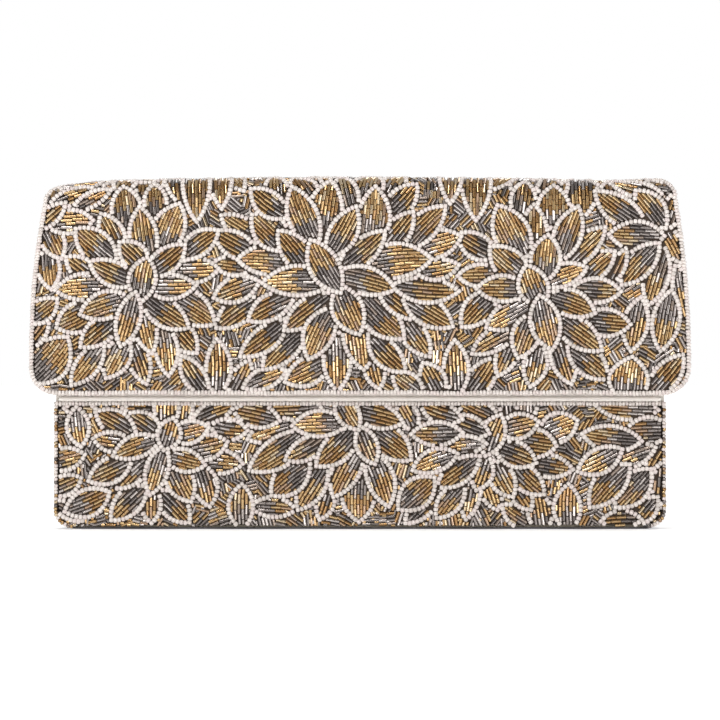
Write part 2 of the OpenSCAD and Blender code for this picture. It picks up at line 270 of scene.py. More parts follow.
FRONT_LEFT = [
    (-83, 34.5, -79.5, 46.5, 8.5), (-83, 35, -89, 15.5, 8), (-77.5, 40, -65, 43, 8),
    (-80, 31, -66.5, 27.5, 8), (-71, 34, -57, 37, 9), (-79, 26.5, -72, 12.5, 10),
    (-68, 25, -64, 10.5, 9), (-65, 29, -50.5, 28, 8.5), (-60, 43.5, -48.5, 42, 7.5),
    (-68, 47, -54, 52.5, 7), (-37.5, 47, -53, 50.5, 9), (-88, 37, -104, 31.5, 8),
    (-100, 37, -112.5, 38.5, 7), (-98, 41.5, -111.5, 49.5, 9), (-87, 40.5, -98.5, 48.5, 9),
    (-82, 46, -82, 60, 9), (-75, 47, -74, 58, 5), (-100, 28, -114.5, 21, 9),
    (-92, 28, -102.5, 18, 8), (-122, 9, -107, 15.5, 10), (-93, 16, -105, 4.5, 9),
    (-88, 15, -88.5, 3.5, 7), (-83, 14, -73, 3.5, 9), (-120, 48.5, -118.5, 36, 8),
    (-122, 51, -112, 50, 5), (-130, 28, -117.5, 31.5, 8), (-129, 17, -119, 21.5, 7),
    (-128, 10, -118.5, 4, 5), (-50, 3.5, -50, 18.5, 9), (-88, 51, -100, 51.5, 4),
]
FRONT_MIDDLE = [
    (-9, 57, -1, 43, 8), (0, 43, 6, 28.5, 7.5), (0, 50, 17.5, 45.5, 9), (6, 41, 21, 30, 11),
    (-9, 44.5, -28, 44, 9.5), (-4, 41, -18, 27.5, 10), (-17, 38, -31, 30, 7.5),
    (-25, 40, -46.5, 25.5, 11), (-29, 44, -47, 38.5, 8), (-19, 53, -40, 51.5, 9),
    (-24, 25.5, -37, 15, 11), (-16, 25, -26, 9, 9), (-1, 33, -11, 14.5, 10),
    (5, 30, 12, 10.5, 10), (0, 20, -0.5, 4, 12), (19, 11, 31, 21.5, 11),
    (38, 31, 23, 25.5, 8), (48, 29, 33.5, 18.5, 8.5), (42, 16, 33, 5.5, 8),
    (22, 5, 33, 14.5, 7), (40, 41, 22.5, 40.5, 8.5), (40, 48, 26.5, 52.5, 7.5),
    (22, 45, 17, 54, 7), (-14, 15, -17, 5, 6), (-43, 9.5, -28, 8.5, 7), (50, 36, 34.5, 34, 6.5),
    (51.5, 42, 38, 47, 7.5),
]
FRONT_RIGHT = [
    (53.5, 32, 59.5, 48, 9), (54, 30.5, 49.5, 17.5, 7.5), (62, 42.5, 75, 45.5, 9),
    (60, 34, 74, 28.5, 9), (58.5, 26, 64.5, 14.5, 8.5), (67, 26, 77.5, 15.5, 8.5),
    (66, 17, 72, 9, 7), (70.5, 37.5, 82.5, 35.5, 10), (79, 41, 91.5, 46, 11),
    (73.5, 28, 89.5, 25.5, 8), (108, 32.5, 93, 25, 9), (116, 38, 95, 40.5, 9.5),
    (112, 25, 98, 10, 11), (121, 23, 109, 10, 11), (122, 33.5, 106, 27, 8.5),
    (129, 42, 113, 41.5, 10), (123, 51, 101, 52.5, 8), (57, 47, 42, 54, 8),
    (63, 49, 62, 60, 6), (71, 49, 71, 60, 8), (88.5, 2.5, 88.5, 18.5, 10), (77, 2, 75, 15, 9),
    (70.5, 3.5, 61, 10, 6.5), (47.5, 21, 45, 5, 6.5), (54, 19.5, 58, 9, 7),
    (116, 4, 103, 3.5, 6), (124, 11, 117.5, 3, 7), (130, 38, 122, 25, 6),
    (128, 25, 126.5, 10.5, 6), (130, 48, 125, 53, 4),
]
# Rings of a flower on the back: the foot's distance from its middle, then length, width and how many
RINGS = [(4, 21, 9.5, 8), (16, 21, 10.5, 14), (29, 21, 10.5, 21), (42, 20, 10.5, 28), (55, 20, 10.5, 35)]
BACK_FLOWERS = [(-84, 213), (6, 226), (92, 210), (-38, 290), (60, 293), (-126, 300)]
# How far a petal's foot runs on under the petals before it
LOOSE_TUCK, TUCK = 0.8, 3.6
# A full turn in radians, roughly and closely
ROUGH_TURN, FULL_TURN = 6.28, 6.2832


def tucked(petals, loose=2):
    """Gives all but a flower's frontmost petals a foot that runs on under the others."""
    return [(*p, LOOSE_TUCK if n < loose else TUCK) for n, p in enumerate(petals)]


def flower(u, v):
    """A flower's petals: two in its middle and rings round them."""
    lean = rng.uniform(-0.4, 0.4)
    middle = [(u, v, u + 6 * math.sin(lean), v + 17, 10), (u, v + 2, u - 5 * math.sin(lean), v - 20, 10.5)]
    rings = []
    for foot, length, width, count in RINGS:
        ring, start = [], rng.uniform(0, ROUGH_TURN)
        for i in range(count):
            a = start + FULL_TURN * (i + rng.uniform(-0.14, 0.14)) / count
            near, far = foot + rng.uniform(-1.5, 1.5), foot + length * rng.uniform(0.88, 1.1)
            c, s = math.cos(a), math.sin(a)
            size = width * rng.uniform(0.85, 1.12)
            ring.append((u + near * c, v + near * s, u + far * c, v + far * s, size))
        rings.append(ring)
    return [tucked(middle)] + [tucked(ring, 0) for ring in rings]


def back_petals():
    """The petals of the spine and the back, ring by ring so that inner ones lie in front."""
    flowers = [flower(*middle) for middle in BACK_FLOWERS]
    return [p for ring in zip(*flowers) for petals in ring for p in petals]


# ---- laying out beads ----

CELL = 0.25
STEP = 0.2
# Seeds: their pitch along an outline, and how close two may come
SEED_PITCH = 1.76
SEED_GAP = 1.3
# How far outside a petal's edge its seeds reach and the bare ground starts, and how far inside it the
# petal hides those behind and has room for bugles
SEED_MARGIN = 1.3
BARE_MARGIN = 0.9
HIDING_MARGIN = -0.6
ROOM_MARGIN = -1.05
# Bugles: the pitch of their rows and in a row, the shortest run and piece, and the gap between two
ROW = 1.46
BUGLE_PITCH = 4.3
SHORTEST_RUN, SHORTEST_PIECE = 1.1, 1.3
BUGLE_GAP = 0.14
# Bugles of the ground: their pitch and gap, their patches' size, and the room each keeps clear
GROUND_PITCH = 3.9
GROUND_RUN = 0.9
GROUND_GAP = 0.12
GROUND_ROOM, FILLER_ROOM = 0.75, 1.2
PATCH = 6.5
GOLD_SHARE = 0.45
# How pointed a petal is: its width goes with this power of a parabola
POINT = 0.9
# What a petal's drawn shape has beyond its width and length, and its bow as a share of its length
WIDER, LONGER = 1.5, 0.8
MOST_BOW = 0.035
# Where along a petal its bugles turn from dark to gold, and how that and the brick pattern vary
SPLIT, SPLIT_SPREAD, SPLIT_LIMITS = 0.47, 0.045, (0.37, 0.58)
SPLIT_JITTER, BRICK_JITTER = 0.9, 0.4


def line_lengths(line):
    """How far along a line each of its points is."""
    return np.concatenate([[0], np.cumsum(np.hypot(*np.diff(line, axis=0).T))])


def points_along(line, far, where):
    """The points at distances where along a line."""
    return np.stack([np.interp(where, far, line[:, k]) for k in range(line.shape[1])], 1)


def runs(free):
    """Where each run of true values starts and ends."""
    ends = np.flatnonzero(np.diff(np.concatenate([[0], free.astype(int), [0]])))
    return zip(ends[::2], ends[1::2])


class Petal:
    """A leaf shape: pointed at both ends and a little bowed."""

    def __init__(self, u0, v0, u1, v1, width, tuck):
        self.width = width + WIDER
        span = np.array([u1 - u0, v1 - v0], float)
        self.along = span / np.hypot(*span)
        self.foot = np.array([u0, v0], float) - self.along * tuck
        self.length = float(np.hypot(*span)) + tuck + LONGER
        self.across = np.array([-self.along[1], self.along[0]])
        self.bow = rng.uniform(-MOST_BOW, MOST_BOW) * self.length
        self.split = float(np.clip(rng.normal(SPLIT, SPLIT_SPREAD), *SPLIT_LIMITS))

    def half(self, t):
        """Half the petal's width at a share of its length."""
        return self.width / 2 * np.clip(4 * t * (1 - t), 0, 1) ** POINT

    def at(self, d, s):
        """The point d along the petal and s across it."""
        t = np.clip(d / self.length, 0, 1)
        side = s * (1 - 0.14 * (2 * t - 1) ** 2) + self.bow * 4 * t * (1 - t)
        return self.foot + np.outer(d, self.along) + np.outer(side, self.across)

    def holds(self, u, v, margin):
        """Whether points are inside the petal grown by margin."""
        du, dv = u - self.foot[0], v - self.foot[1]
        reach = 1.3 * margin
        d = du * self.along[0] + dv * self.along[1]
        t = (d + reach) / (self.length + 2 * reach)
        inner = np.clip(d / self.length, 0, 1)
        s = du * self.across[0] + dv * self.across[1] - self.bow * 4 * inner * (1 - inner)
        half = (self.width / 2 + margin) * np.clip(4 * t * (1 - t), 0, 1) ** POINT
        return (t > 0) & (t < 1) & (np.abs(s) < half)

    def outline(self):
        """Points about a bead apart round the edge, and the directions there."""
        t = (1 - np.cos(np.linspace(0, math.pi, 80))) / 2
        side = self.half(t)
        points, ways = [], []
        for sign in (1, -1):
            line = self.foot + np.outer(t * self.length, self.along)
            line += np.outer(sign * side + self.bow * 4 * t * (1 - t), self.across)
            far = line_lengths(line)
            count = max(2, round(far[-1] / SEED_PITCH))
            where = np.linspace(0, far[-1], count + 1)
            where = where if sign > 0 else where[1:-1]
            points.append(points_along(line, far, where))
            ways.append(points_along(line, far, where + 0.4) - points_along(line, far, where - 0.4))
        return np.concatenate(points), np.concatenate(ways)


class Bed:
    """Beadwork laid out flat. Seeds are (u, v, du, dv); bugles (u, v, du, dv, length, gold)."""

    def __init__(self, half_at, v0, v1, edge):
        self.v0, self.u0 = v0, -FLAP_HALF - 1
        u = np.arange(self.u0, FLAP_HALF + 1, CELL)
        v = np.arange(v0, v1, CELL)
        self.u, self.v = np.meshgrid(u, v)
        self.open = np.abs(self.u) < half_at(self.v) - edge
        self.open &= (self.v > v0 + edge) & (self.v < v1 - edge)
        self.top = np.full(self.u.shape, -1)
        self.room = np.full(self.u.shape, -1)
        self.bare = self.open.copy()
        self.seeds, self.bugles, self.near = [], [], {}

    def cells(self, points):
        """The rows and columns of points, kept on the bed."""
        i = np.clip(np.rint((points[:, 1] - self.v0) / CELL), 0, self.u.shape[0] - 1)
        j = np.clip(np.rint((points[:, 0] - self.u0) / CELL), 0, self.u.shape[1] - 1)
        return i.astype(int), j.astype(int)

    def window(self, petal, margin):
        """The part of the bed that the grown petal can reach."""
        tip = petal.foot + petal.along * petal.length
        reach = petal.width / 2 + abs(petal.bow) + 2 * margin + 1
        corners = np.array([np.minimum(petal.foot, tip) - reach, np.maximum(petal.foot, tip) + reach])
        i, j = self.cells(corners)
        return slice(i[0], i[1] + 1), slice(j[0], j[1] + 1)

    def paint(self, grid, petal, margin, value):
        """Sets the cells inside the petal, grown by margin."""
        part = self.window(petal, max(margin, 0))
        inside = petal.holds(self.u[part], self.v[part], margin)
        grid[part][inside] = value

    def add_seed(self, u, v, du, dv):
        """Places a seed bead unless another is in its way."""
        ci, cj = int(u // 2), int(v // 2)
        for i in (ci - 1, ci, ci + 1):
            for j in (cj - 1, cj, cj + 1):
                for a, b in self.near.get((i, j), ()):
                    if (a - u) ** 2 + (b - v) ** 2 < SEED_GAP * SEED_GAP:
                        return
        self.near.setdefault((ci, cj), []).append((u, v))
        self.seeds.append((u, v, du, dv))

    def lay(self, petals):
        """Lays the petals, whose order is front to back, and fills the ground between them."""
        petals = [Petal(*petal) for petal in petals]
        for n in reversed(range(len(petals))):
            self.paint(self.room, petals[n], SEED_MARGIN, -1)
            self.paint(self.room, petals[n], ROOM_MARGIN, n)
            self.paint(self.top, petals[n], HIDING_MARGIN, n)
            self.paint(self.bare, petals[n], BARE_MARGIN, False)
        for n, petal in enumerate(petals):
            points, ways = petal.outline()
            i, j = self.cells(points)
            seen = self.open[i, j] & ((self.top[i, j] < 0) | (self.top[i, j] >= n))
            for k in np.flatnonzero(seen):
                self.add_seed(*points[k], *ways[k])
            self.fill_petal(n, petal)
        self.fill_ground()

    def fill_petal(self, n, petal):
        """Rows of bugles along the petal, dark near its foot and gold near its tip."""
        inner = petal.width / 2 - 1.25
        count = max(1, round(2 * inner / ROW) + 1)
        for k, s in enumerate(np.linspace(-inner, inner, count) if count > 1 else [0.0]):
            d = np.arange(0, petal.length, STEP)
            i, j = self.cells(petal.at(d, np.full_like(d, s)))
            start = (k % 2) * BUGLE_PITCH / 2 + rng.uniform(-BRICK_JITTER, BRICK_JITTER)
            for a, b in runs((self.room[i, j] == n) & self.open[i, j]):
                self.fill_row(petal, s, a * STEP, b * STEP, start)

    def fill_row(self, petal, s, a, b, start):
        """Bugles end to end from a to b, broken where the brick pattern says."""
        if b - a < SHORTEST_RUN:
            return
        first = start + math.ceil((a - start) / BUGLE_PITCH) * BUGLE_PITCH
        inner = [c for c in np.arange(first, b, BUGLE_PITCH) if min(c - a, b - c) > SHORTEST_PIECE]
        cuts = [a, *inner, b]
        for lo, hi in zip(cuts, cuts[1:]):
            ends = petal.at(np.array([lo, hi]), np.array([s, s]))
            way = ends[1] - ends[0]
            gold = (lo + hi) / 2 > petal.length * petal.split + rng.uniform(-SPLIT_JITTER, SPLIT_JITTER)
            self.bugles.append((*ends.mean(0), *way, hi - lo - BUGLE_GAP, gold))

    def nearest_group(self, u, v):
        """Which patch of the ground each point is in: the patches' middles are a jittered grid."""
        best, chosen = np.full(u.shape, np.inf), np.zeros(u.shape, int)
        column, row = np.floor((u - self.u0) / PATCH), np.floor((v - self.v0) / PATCH)
        for dc in (-1, 0, 1):
            for dr in (-1, 0, 1):
                c = np.clip(column + dc, 0, self.patches.shape[1] - 1).astype(int)
                r = np.clip(row + dr, 0, self.patches.shape[0] - 1).astype(int)
                far = np.hypot(u - self.patches[r, c, 0], v - self.patches[r, c, 1])
                closer = far < best
                best = np.where(closer, far, best)
                chosen = np.where(closer, r * self.patches.shape[1] + c, chosen)
        return chosen

    def fill_ground(self):
        """Bugles on the bare ground: patches of rows that lie the same way, then short ones in the gaps."""
        counts = int(np.ptp(self.v) / PATCH) + 2, int(np.ptp(self.u) / PATCH) + 2
        r, c = np.meshgrid(np.arange(counts[0]), np.arange(counts[1]), indexing="ij")
        middles = np.stack([self.u0 + (c + 0.5) * PATCH, self.v0 + (r + 0.5) * PATCH], 2)
        self.patches = middles + rng.uniform(-0.32, 0.32, middles.shape) * PATCH
        ways = rng.uniform(0, math.pi, r.size)
        bare = self.bare.copy()
        for u, v, _, _ in self.seeds:
            self.block(bare, np.array([[u, v]]), SEED_MARGIN)
        group = np.full(bare.shape, -1)
        group[bare] = self.nearest_group(self.u[bare], self.v[bare])
        for n in np.unique(group[group >= 0]):
            self.fill_patch(bare, group, n, np.array([math.cos(ways[n]), math.sin(ways[n])]))
        for spot in rng.permutation(np.flatnonzero(bare.ravel())):
            i, j = divmod(int(spot), bare.shape[1])
            if bare[i, j]:
                a = rng.uniform(0, math.pi)
                way = np.array([math.cos(a), math.sin(a)])
                middle = np.array([self.u[i, j], self.v[i, j]])
                line = middle + np.outer(np.linspace(-0.6, 0.6, 5), way)
                if bare[self.cells(line)].mean() > 0.7:
                    self.add_ground_bugle(bare, middle, way, rng.uniform(1.3, 1.9), FILLER_ROOM)

    def fill_patch(self, bare, group, n, along):
        """Rows of bugles that lie along one direction across patch n of the ground."""
        middle = self.patches.reshape(-1, 2)[n]
        across = np.array([-along[1], along[0]])
        reach = np.arange(-PATCH, PATCH, STEP)
        for k in range(-5, 6):
            row = middle + across * (k + 0.5) * ROW
            for a, end in runs(group[self.cells(row + np.outer(reach, along))] == n):
                b = end - 1
                if (b - a) * STEP < GROUND_RUN:
                    continue
                count = max(1, round((b - a) * STEP / GROUND_PITCH))
                cuts = np.linspace(reach[a] - 0.3, reach[b] + 0.3, count + 1)
                for lo, hi in zip(cuts, cuts[1:]):
                    spot = row + along * (lo + hi) / 2
                    self.add_ground_bugle(bare, spot, along, hi - lo - GROUND_GAP, GROUND_ROOM)

    def add_ground_bugle(self, bare, spot, way, length, room):
        """Places a bugle and keeps others out of its room."""
        line = spot + np.outer(np.linspace(-0.5, 0.5, 7) * length, way)
        self.block(bare, line, room)
        self.bugles.append((*spot, *way, length, rng.random() < GOLD_SHARE))

    def block(self, grid, points, radius):
        """Marks the cells within radius of the points as taken."""
        reach = int(radius / CELL) + 1
        for i, j in zip(*self.cells(points)):
            part = (slice(max(i - reach, 0), i + reach + 1), slice(max(j - reach, 0), j + reach + 1))
            far = (self.u[part] - self.u[i, j]) ** 2 + (self.v[part] - self.v[i, j]) ** 2
            grid[part][far < radius * radius] = False


# ---- bead meshes ----

SEED_SIDES = 12
BUGLE_SIDES = 10


def add_object(name, data):
    """A new object in the scene."""
    made = bpy.data.objects.new(name, data)
    bpy.context.scene.collection.objects.link(made)
    return made


def attach(piece, rides, node):
    """Attaches a piece to what it rides on and hides the CAD node that it replaces."""
    rides(piece)
    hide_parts(node)


def bead_rings(kind):
    """A bead's closed section: (share of half the length, offset, radius) round its hole."""
    if kind == "seed":
        return [(-1, 0.10, 0.26), (-1, 0, 0.48), (-1, 0.12, 0.76), (-1, 0.42, 0.96),
                (1, -0.42, 0.96), (1, -0.12, 0.76), (1, 0, 0.48), (1, -0.10, 0.26)]
    return [(-1, 0.05, 0.40), (-1, 0, 0.56), (-1, 0.10, 0.70),
            (1, -0.10, 0.70), (1, 0, 0.56), (1, -0.05, 0.40)]


def bead_mesh(name, kind, centres, axes, outs, lengths, sizes, tones, materials):
    """One mesh of many beads, whose holes run along axes. tones picks each bead's material."""
    rings = bead_rings(kind)
    sides = SEED_SIDES if kind == "seed" else BUGLE_SIDES
    turn = 2 * math.pi * np.arange(sides) / sides
    share, offset, radius = (np.repeat(column, sides) for column in zip(*rings))
    c, s = np.tile(np.cos(turn), len(rings)), np.tile(np.sin(turn), len(rings))
    axes = axes / np.linalg.norm(axes, axis=1, keepdims=True)
    sides_way = np.cross(outs, axes)
    sides_way /= np.linalg.norm(sides_way, axis=1, keepdims=True)
    up = np.cross(axes, sides_way)
    x = share[None] * lengths[:, None] / 2 + offset[None]
    r = radius[None] * sizes[:, None]
    points = centres[:, None] + x[..., None] * axes[:, None]
    points = points + (r * c[None])[..., None] * sides_way[:, None]
    points = points + (r * s[None])[..., None] * up[:, None]
    count, per = len(centres), len(rings) * sides
    faces = []
    for k in range(len(rings)):
        nxt = (k + 1) % len(rings)
        for m in range(sides):
            q = (m + 1) % sides
            faces.append((k * sides + m, k * sides + q, nxt * sides + q, nxt * sides + m))
    faces = np.array(faces)[:, ::-1]
    all_faces = (np.arange(count)[:, None, None] * per + faces[None]).reshape(-1, 4)
    mesh = bpy.data.meshes.new(name)
    mesh.vertices.add(count * per)
    mesh.vertices.foreach_set("co", (points.reshape(-1) * MM).astype(np.float32))
    mesh.loops.add(all_faces.size)
    mesh.loops.foreach_set("vertex_index", all_faces.reshape(-1).astype(np.int32))
    mesh.polygons.add(len(all_faces))
    mesh.polygons.foreach_set("loop_start", np.arange(0, all_faces.size, 4, dtype=np.int32))
    mesh.polygons.foreach_set("use_smooth", np.ones(len(all_faces), bool))
    mesh.polygons.foreach_set("material_index", np.repeat(tones, len(faces)).astype(np.int32))
    mesh.update(calc_edges=True)
    if kind == "bugle":
        sharpen_rims(mesh, per, sides)
    for material in materials:
        mesh.materials.append(material)
    return add_object(name, mesh)


def sharpen_rims(mesh, per, sides):
    """Bugles are cut straight across, so the rims where their sides end are sharp."""
    ends = np.zeros(len(mesh.edges) * 2, np.int32)
    mesh.edges.foreach_get("vertices", ends)
    ring = (ends.reshape(-1, 2) % per) // sides
    sharp = (ring[:, 0] == ring[:, 1]) & ((ring[:, 0] == 2) | (ring[:, 0] == 3))
    rims = mesh.attributes.new("sharp_edge", "BOOLEAN", "EDGE")
    rims.data.foreach_set("value", sharp)


def jitter(vectors, amount):
    return vectors + rng.normal(0, amount, vectors.shape)


def lift_beads(bed, place, beads, height):
    """3-D centres, hole axes and outward directions of beads laid out on a bed."""
    beads = np.array(beads, float)
    u, v, du, dv = beads[:, :4].T
    size = np.hypot(du, dv)
    centres, along, out = place(u, v, np.full(len(u), height) + rng.normal(0, 0.05, len(u)))
    across = np.tile([1.0, 0, 0], (len(u), 1))
    axes = across * (du / size)[:, None] + along * (dv / size)[:, None]
    return beads, centres, jitter(axes, 0.03), out


# ---- materials ----

def plain(name, colour, metallic, roughness, coat=0.0, coat_roughness=0.05, specular=0.5):
    """A bead's glass or metal, the same all over."""
    material = bpy.data.materials.new(name)
    material.use_nodes = True
    shader = material.node_tree.nodes["Principled BSDF"]
    shader.inputs["Base Color"].default_value = (*colour, 1)
    shader.inputs["Metallic"].default_value = metallic
    shader.inputs["Roughness"].default_value = roughness
    shader.inputs["Coat Weight"].default_value = coat
    shader.inputs["Coat Roughness"].default_value = coat_roughness
    shader.inputs["Specular IOR Level"].default_value = specular
    return material


SEED_TONES = [
    plain("pearl_white", (0.76, 0.692, 0.648), 0, 0.32, 0.35, 0.12),
    plain("pearl_rose", (0.71, 0.622, 0.59), 0, 0.30, 0.35, 0.12),
    plain("pearl_shade", (0.63, 0.568, 0.525), 0, 0.36, 0.3, 0.15),
]
GOLD_TONES = [
    plain("gold_lined", (0.405, 0.254, 0.108), 0.85, 0.16, 0.8),
    plain("gold_bright", (0.48, 0.325, 0.152), 0.9, 0.13, 0.8),
    plain("gold_amber", (0.31, 0.168, 0.056), 0.8, 0.18, 0.8),
    plain("gold_pale", (0.535, 0.42, 0.272), 0.9, 0.15, 0.8),
    plain("gold_rose", (0.36, 0.236, 0.148), 0.85, 0.16, 0.8),
]
GUN_TONES = [
    plain("gunmetal", (0.248, 0.213, 0.197), 0.85, 0.15, 0.8),
    plain("gunmetal_dark", (0.132, 0.11, 0.1), 0.8, 0.14, 0.8),
    plain("gunmetal_pale", (0.465, 0.418, 0.394), 0.9, 0.14, 0.6),
    plain("gunmetal_brown", (0.27, 0.21, 0.171), 0.85, 0.18, 0.6),
]


class Nodes:
    """A short way to write the nodes of a material or a world."""

    def __init__(self, owner, place="Object"):
        self.owner = owner
        owner.use_nodes = True
        self.tree = owner.node_tree
        self.shader = self.tree.nodes.get("Principled BSDF")
        self.place = self.add("ShaderNodeTexCoord").outputs[place]

    def add(self, kind, **inputs):
        node = self.tree.nodes.new(kind)
        for key, value in inputs.items():
            self.put(node.inputs[key.replace("_", " ")], value)
        return node

    def put(self, socket, value):
        if isinstance(value, bpy.types.NodeSocket):
            self.tree.links.new(value, socket)
        else:
            socket.default_value = value

    def noise(self, scale, detail=3.0, stretch=None):
        where = self.place
        if stretch:
            where = self.add("ShaderNodeMapping", Vector=where, Scale=stretch).outputs["Vector"]
        return self.add("ShaderNodeTexNoise", Vector=where, Scale=scale, Detail=detail).outputs["Fac"]

    def wave(self, scale, axis, distortion=0.0):
        node = self.add("ShaderNodeTexWave", Vector=self.place, Scale=scale, Distortion=distortion)
        node.bands_direction = axis
        return node.outputs["Fac"]

    def ramp(self, factor, low_colour, high_colour, start=0.3, stop=0.7):
        node = self.add("ShaderNodeValToRGB", Fac=factor)
        node.color_ramp.elements[0].position = start
        node.color_ramp.elements[1].position = stop
        node.color_ramp.elements[0].color = (*low_colour, 1)
        node.color_ramp.elements[1].color = (*high_colour, 1)
        return node.outputs["Color"]

    def maths(self, operation, a, b):
        node = self.add("ShaderNodeMath")
        node.operation = operation
        self.put(node.inputs[0], a)
        self.put(node.inputs[1], b)
        return node.outputs[0]

    def bump(self, height, strength, distance):
        node = self.add("ShaderNodeBump", Height=height, Strength=strength, Distance=distance)
        self.put(self.shader.inputs["Normal"], node.outputs["Normal"])

    def set(self, **inputs):
        for key, value in inputs.items():
            self.put(self.shader.inputs[key.replace("_", " ")], value)
        return self.owner


def nodes_of(name):
    """The nodes of a new material."""
    return Nodes(bpy.data.materials.new(name))


def satin(name, shade, light, roughness=(0.34, 0.5), sheen=0.35, slub=0.25):
    """Woven satin: fine threads, soft cloudy tone and a sheen."""
    n = nodes_of(name)
    threads = n.maths("ADD", n.wave(1150, "X"), n.wave(1500, "Z"))
    slubs = n.noise(900, 2, (1, 0.15, 6))
    cloud = n.noise(38, 4)
    tone = n.maths("ADD", n.maths("MULTIPLY", cloud, 0.3), n.maths("MULTIPLY", slubs, 0.7 * slub + 0.35))
    colour = n.ramp(tone, shade, light, 0.2, 0.75)
    rough = n.add("ShaderNodeMapRange", Value=slubs, To_Min=roughness[0], To_Max=roughness[1]).outputs[0]
    n.bump(n.maths("ADD", threads, n.maths("MULTIPLY", n.noise(140, 3), 1.6)), 0.35, 0.00012)
    return n.set(Base_Color=colour, Roughness=rough, Sheen_Weight=sheen, Sheen_Roughness=0.35)


def metal(name, shade, light, rough):
    """Plated metal with faint turning marks and wear."""
    n = nodes_of(name)
    marks = n.noise(2200, 2, (1, 1, 0.2))
    wear = n.noise(420, 4)
    colour = n.ramp(wear, shade, light, 0.35, 0.65)
    roughness = n.add("ShaderNodeMapRange", Value=marks, To_Min=rough - 0.07, To_Max=rough + 0.1).outputs[0]
    n.bump(marks, 0.15, 0.00003)
    return n.set(Base_Color=colour, Roughness=roughness, Metallic=1.0)


def fibrous(name, shade, light, scale, rough, depth):
    """Card or wadding: a matt, mottled, fibrous surface."""
    n = nodes_of(name)
    fibres = n.noise(scale, 5, (1, 1, 0.35))
    colour = n.ramp(fibres, shade, light, 0.35, 0.68)
    n.bump(n.maths("ADD", fibres, n.noise(scale * 3, 3)), 0.5, depth)
    return n.set(Base_Color=colour, Roughness=rough)


CREAM = satin("cream_satin", (0.64, 0.585, 0.525), (0.78, 0.73, 0.675), (0.3, 0.44))
# The ground cloth is near-black brown: painted shade for the gaps between the beads, much darker than the
# cloth itself.
GROUND_CLOTH_PAINTED_SHADE = satin("ground_cloth", (0.036, 0.021, 0.012), (0.082, 0.052, 0.033), (0.6, 0.8), 0.02)
# The piping's satin is a lighter copy of the cream satin: painted light that lifts the piping where the
# flap's edge shades it.
PIPING_LIT_SATIN = satin("piping_satin", (0.76, 0.70, 0.64), (0.88, 0.83, 0.775), (0.3, 0.44))
LINING = satin("lining_satin", (0.54, 0.475, 0.40), (0.68, 0.615, 0.54), (0.32, 0.46))
GREY = satin("grey_satin", (0.055, 0.05, 0.055), (0.12, 0.11, 0.115), (0.4, 0.6), 0.15)
CARD = fibrous("card", (0.50, 0.43, 0.33), (0.62, 0.55, 0.44), 900, 0.85, 0.0001)
WADDING = fibrous("wadding", (0.80, 0.78, 0.72), (0.92, 0.91, 0.87), 500, 0.95, 0.0006)
NICKEL = metal("nickel_plate", (0.40, 0.385, 0.355), (0.55, 0.53, 0.49), 0.26)
IRON = metal("magnet_iron", (0.20, 0.20, 0.21), (0.30, 0.30, 0.31), 0.42)

# ---- the beadwork ----

# The beds stop short of the rows of seeds along the edges, and run in a little under the border row
FLAP_FOOT_CLEAR, FLAP_SIDE_CLEAR, BACK_SIDE_CLEAR, FRONT_SIDE_CLEAR = 2.2, 2.3, 1.9, 2.0
BORDER_OVERLAP = 0.7

strip = Bed(strip_half, FLAP_Z, V_END, 1.0)
strip.open &= strip.v > FLAP_Z + FLAP_FOOT_CLEAR
side_clear = np.where(strip.v < V_FLAP, FLAP_SIDE_CLEAR, BACK_SIDE_CLEAR)
strip.open &= np.abs(strip.u) < strip_half(strip.v) - side_clear
strip.bare &= strip.open
strip.lay(tucked(FLAP_MIDDLE) + tucked(FLAP_LEFT) + tucked(FLAP_RIGHT) + back_petals())

front = Bed(front_half, PANEL_Z, BORDER_FOOT + BORDER_OVERLAP, 0.5)
front.open &= np.abs(front.u) < front_half(front.v) - FRONT_SIDE_CLEAR
front.bare &= front.open
front.lay(tucked(FRONT_LEFT) + tucked(FRONT_MIDDLE) + tucked(FRONT_RIGHT))

MOST_TRIANGLES = 180000
# Heights of the beads' middles over the ground cloth, and a seed's length and radius
SEED_HEIGHT, BUGLE_HEIGHT = 1.0, 0.78
SEED_LENGTH, SEED_RADIUS = 1.72, 1.09
# How common each tone is, in the order of the materials
SEED_SHARES = [0.55, 0.28, 0.17]
GOLD_SHARES = [0.34, 0.2, 0.2, 0.14, 0.12]
GUN_SHARES = [0.4, 0.28, 0.16, 0.16]
MIXED_WHITE = 0.4
EDGE_PITCH = 1.4


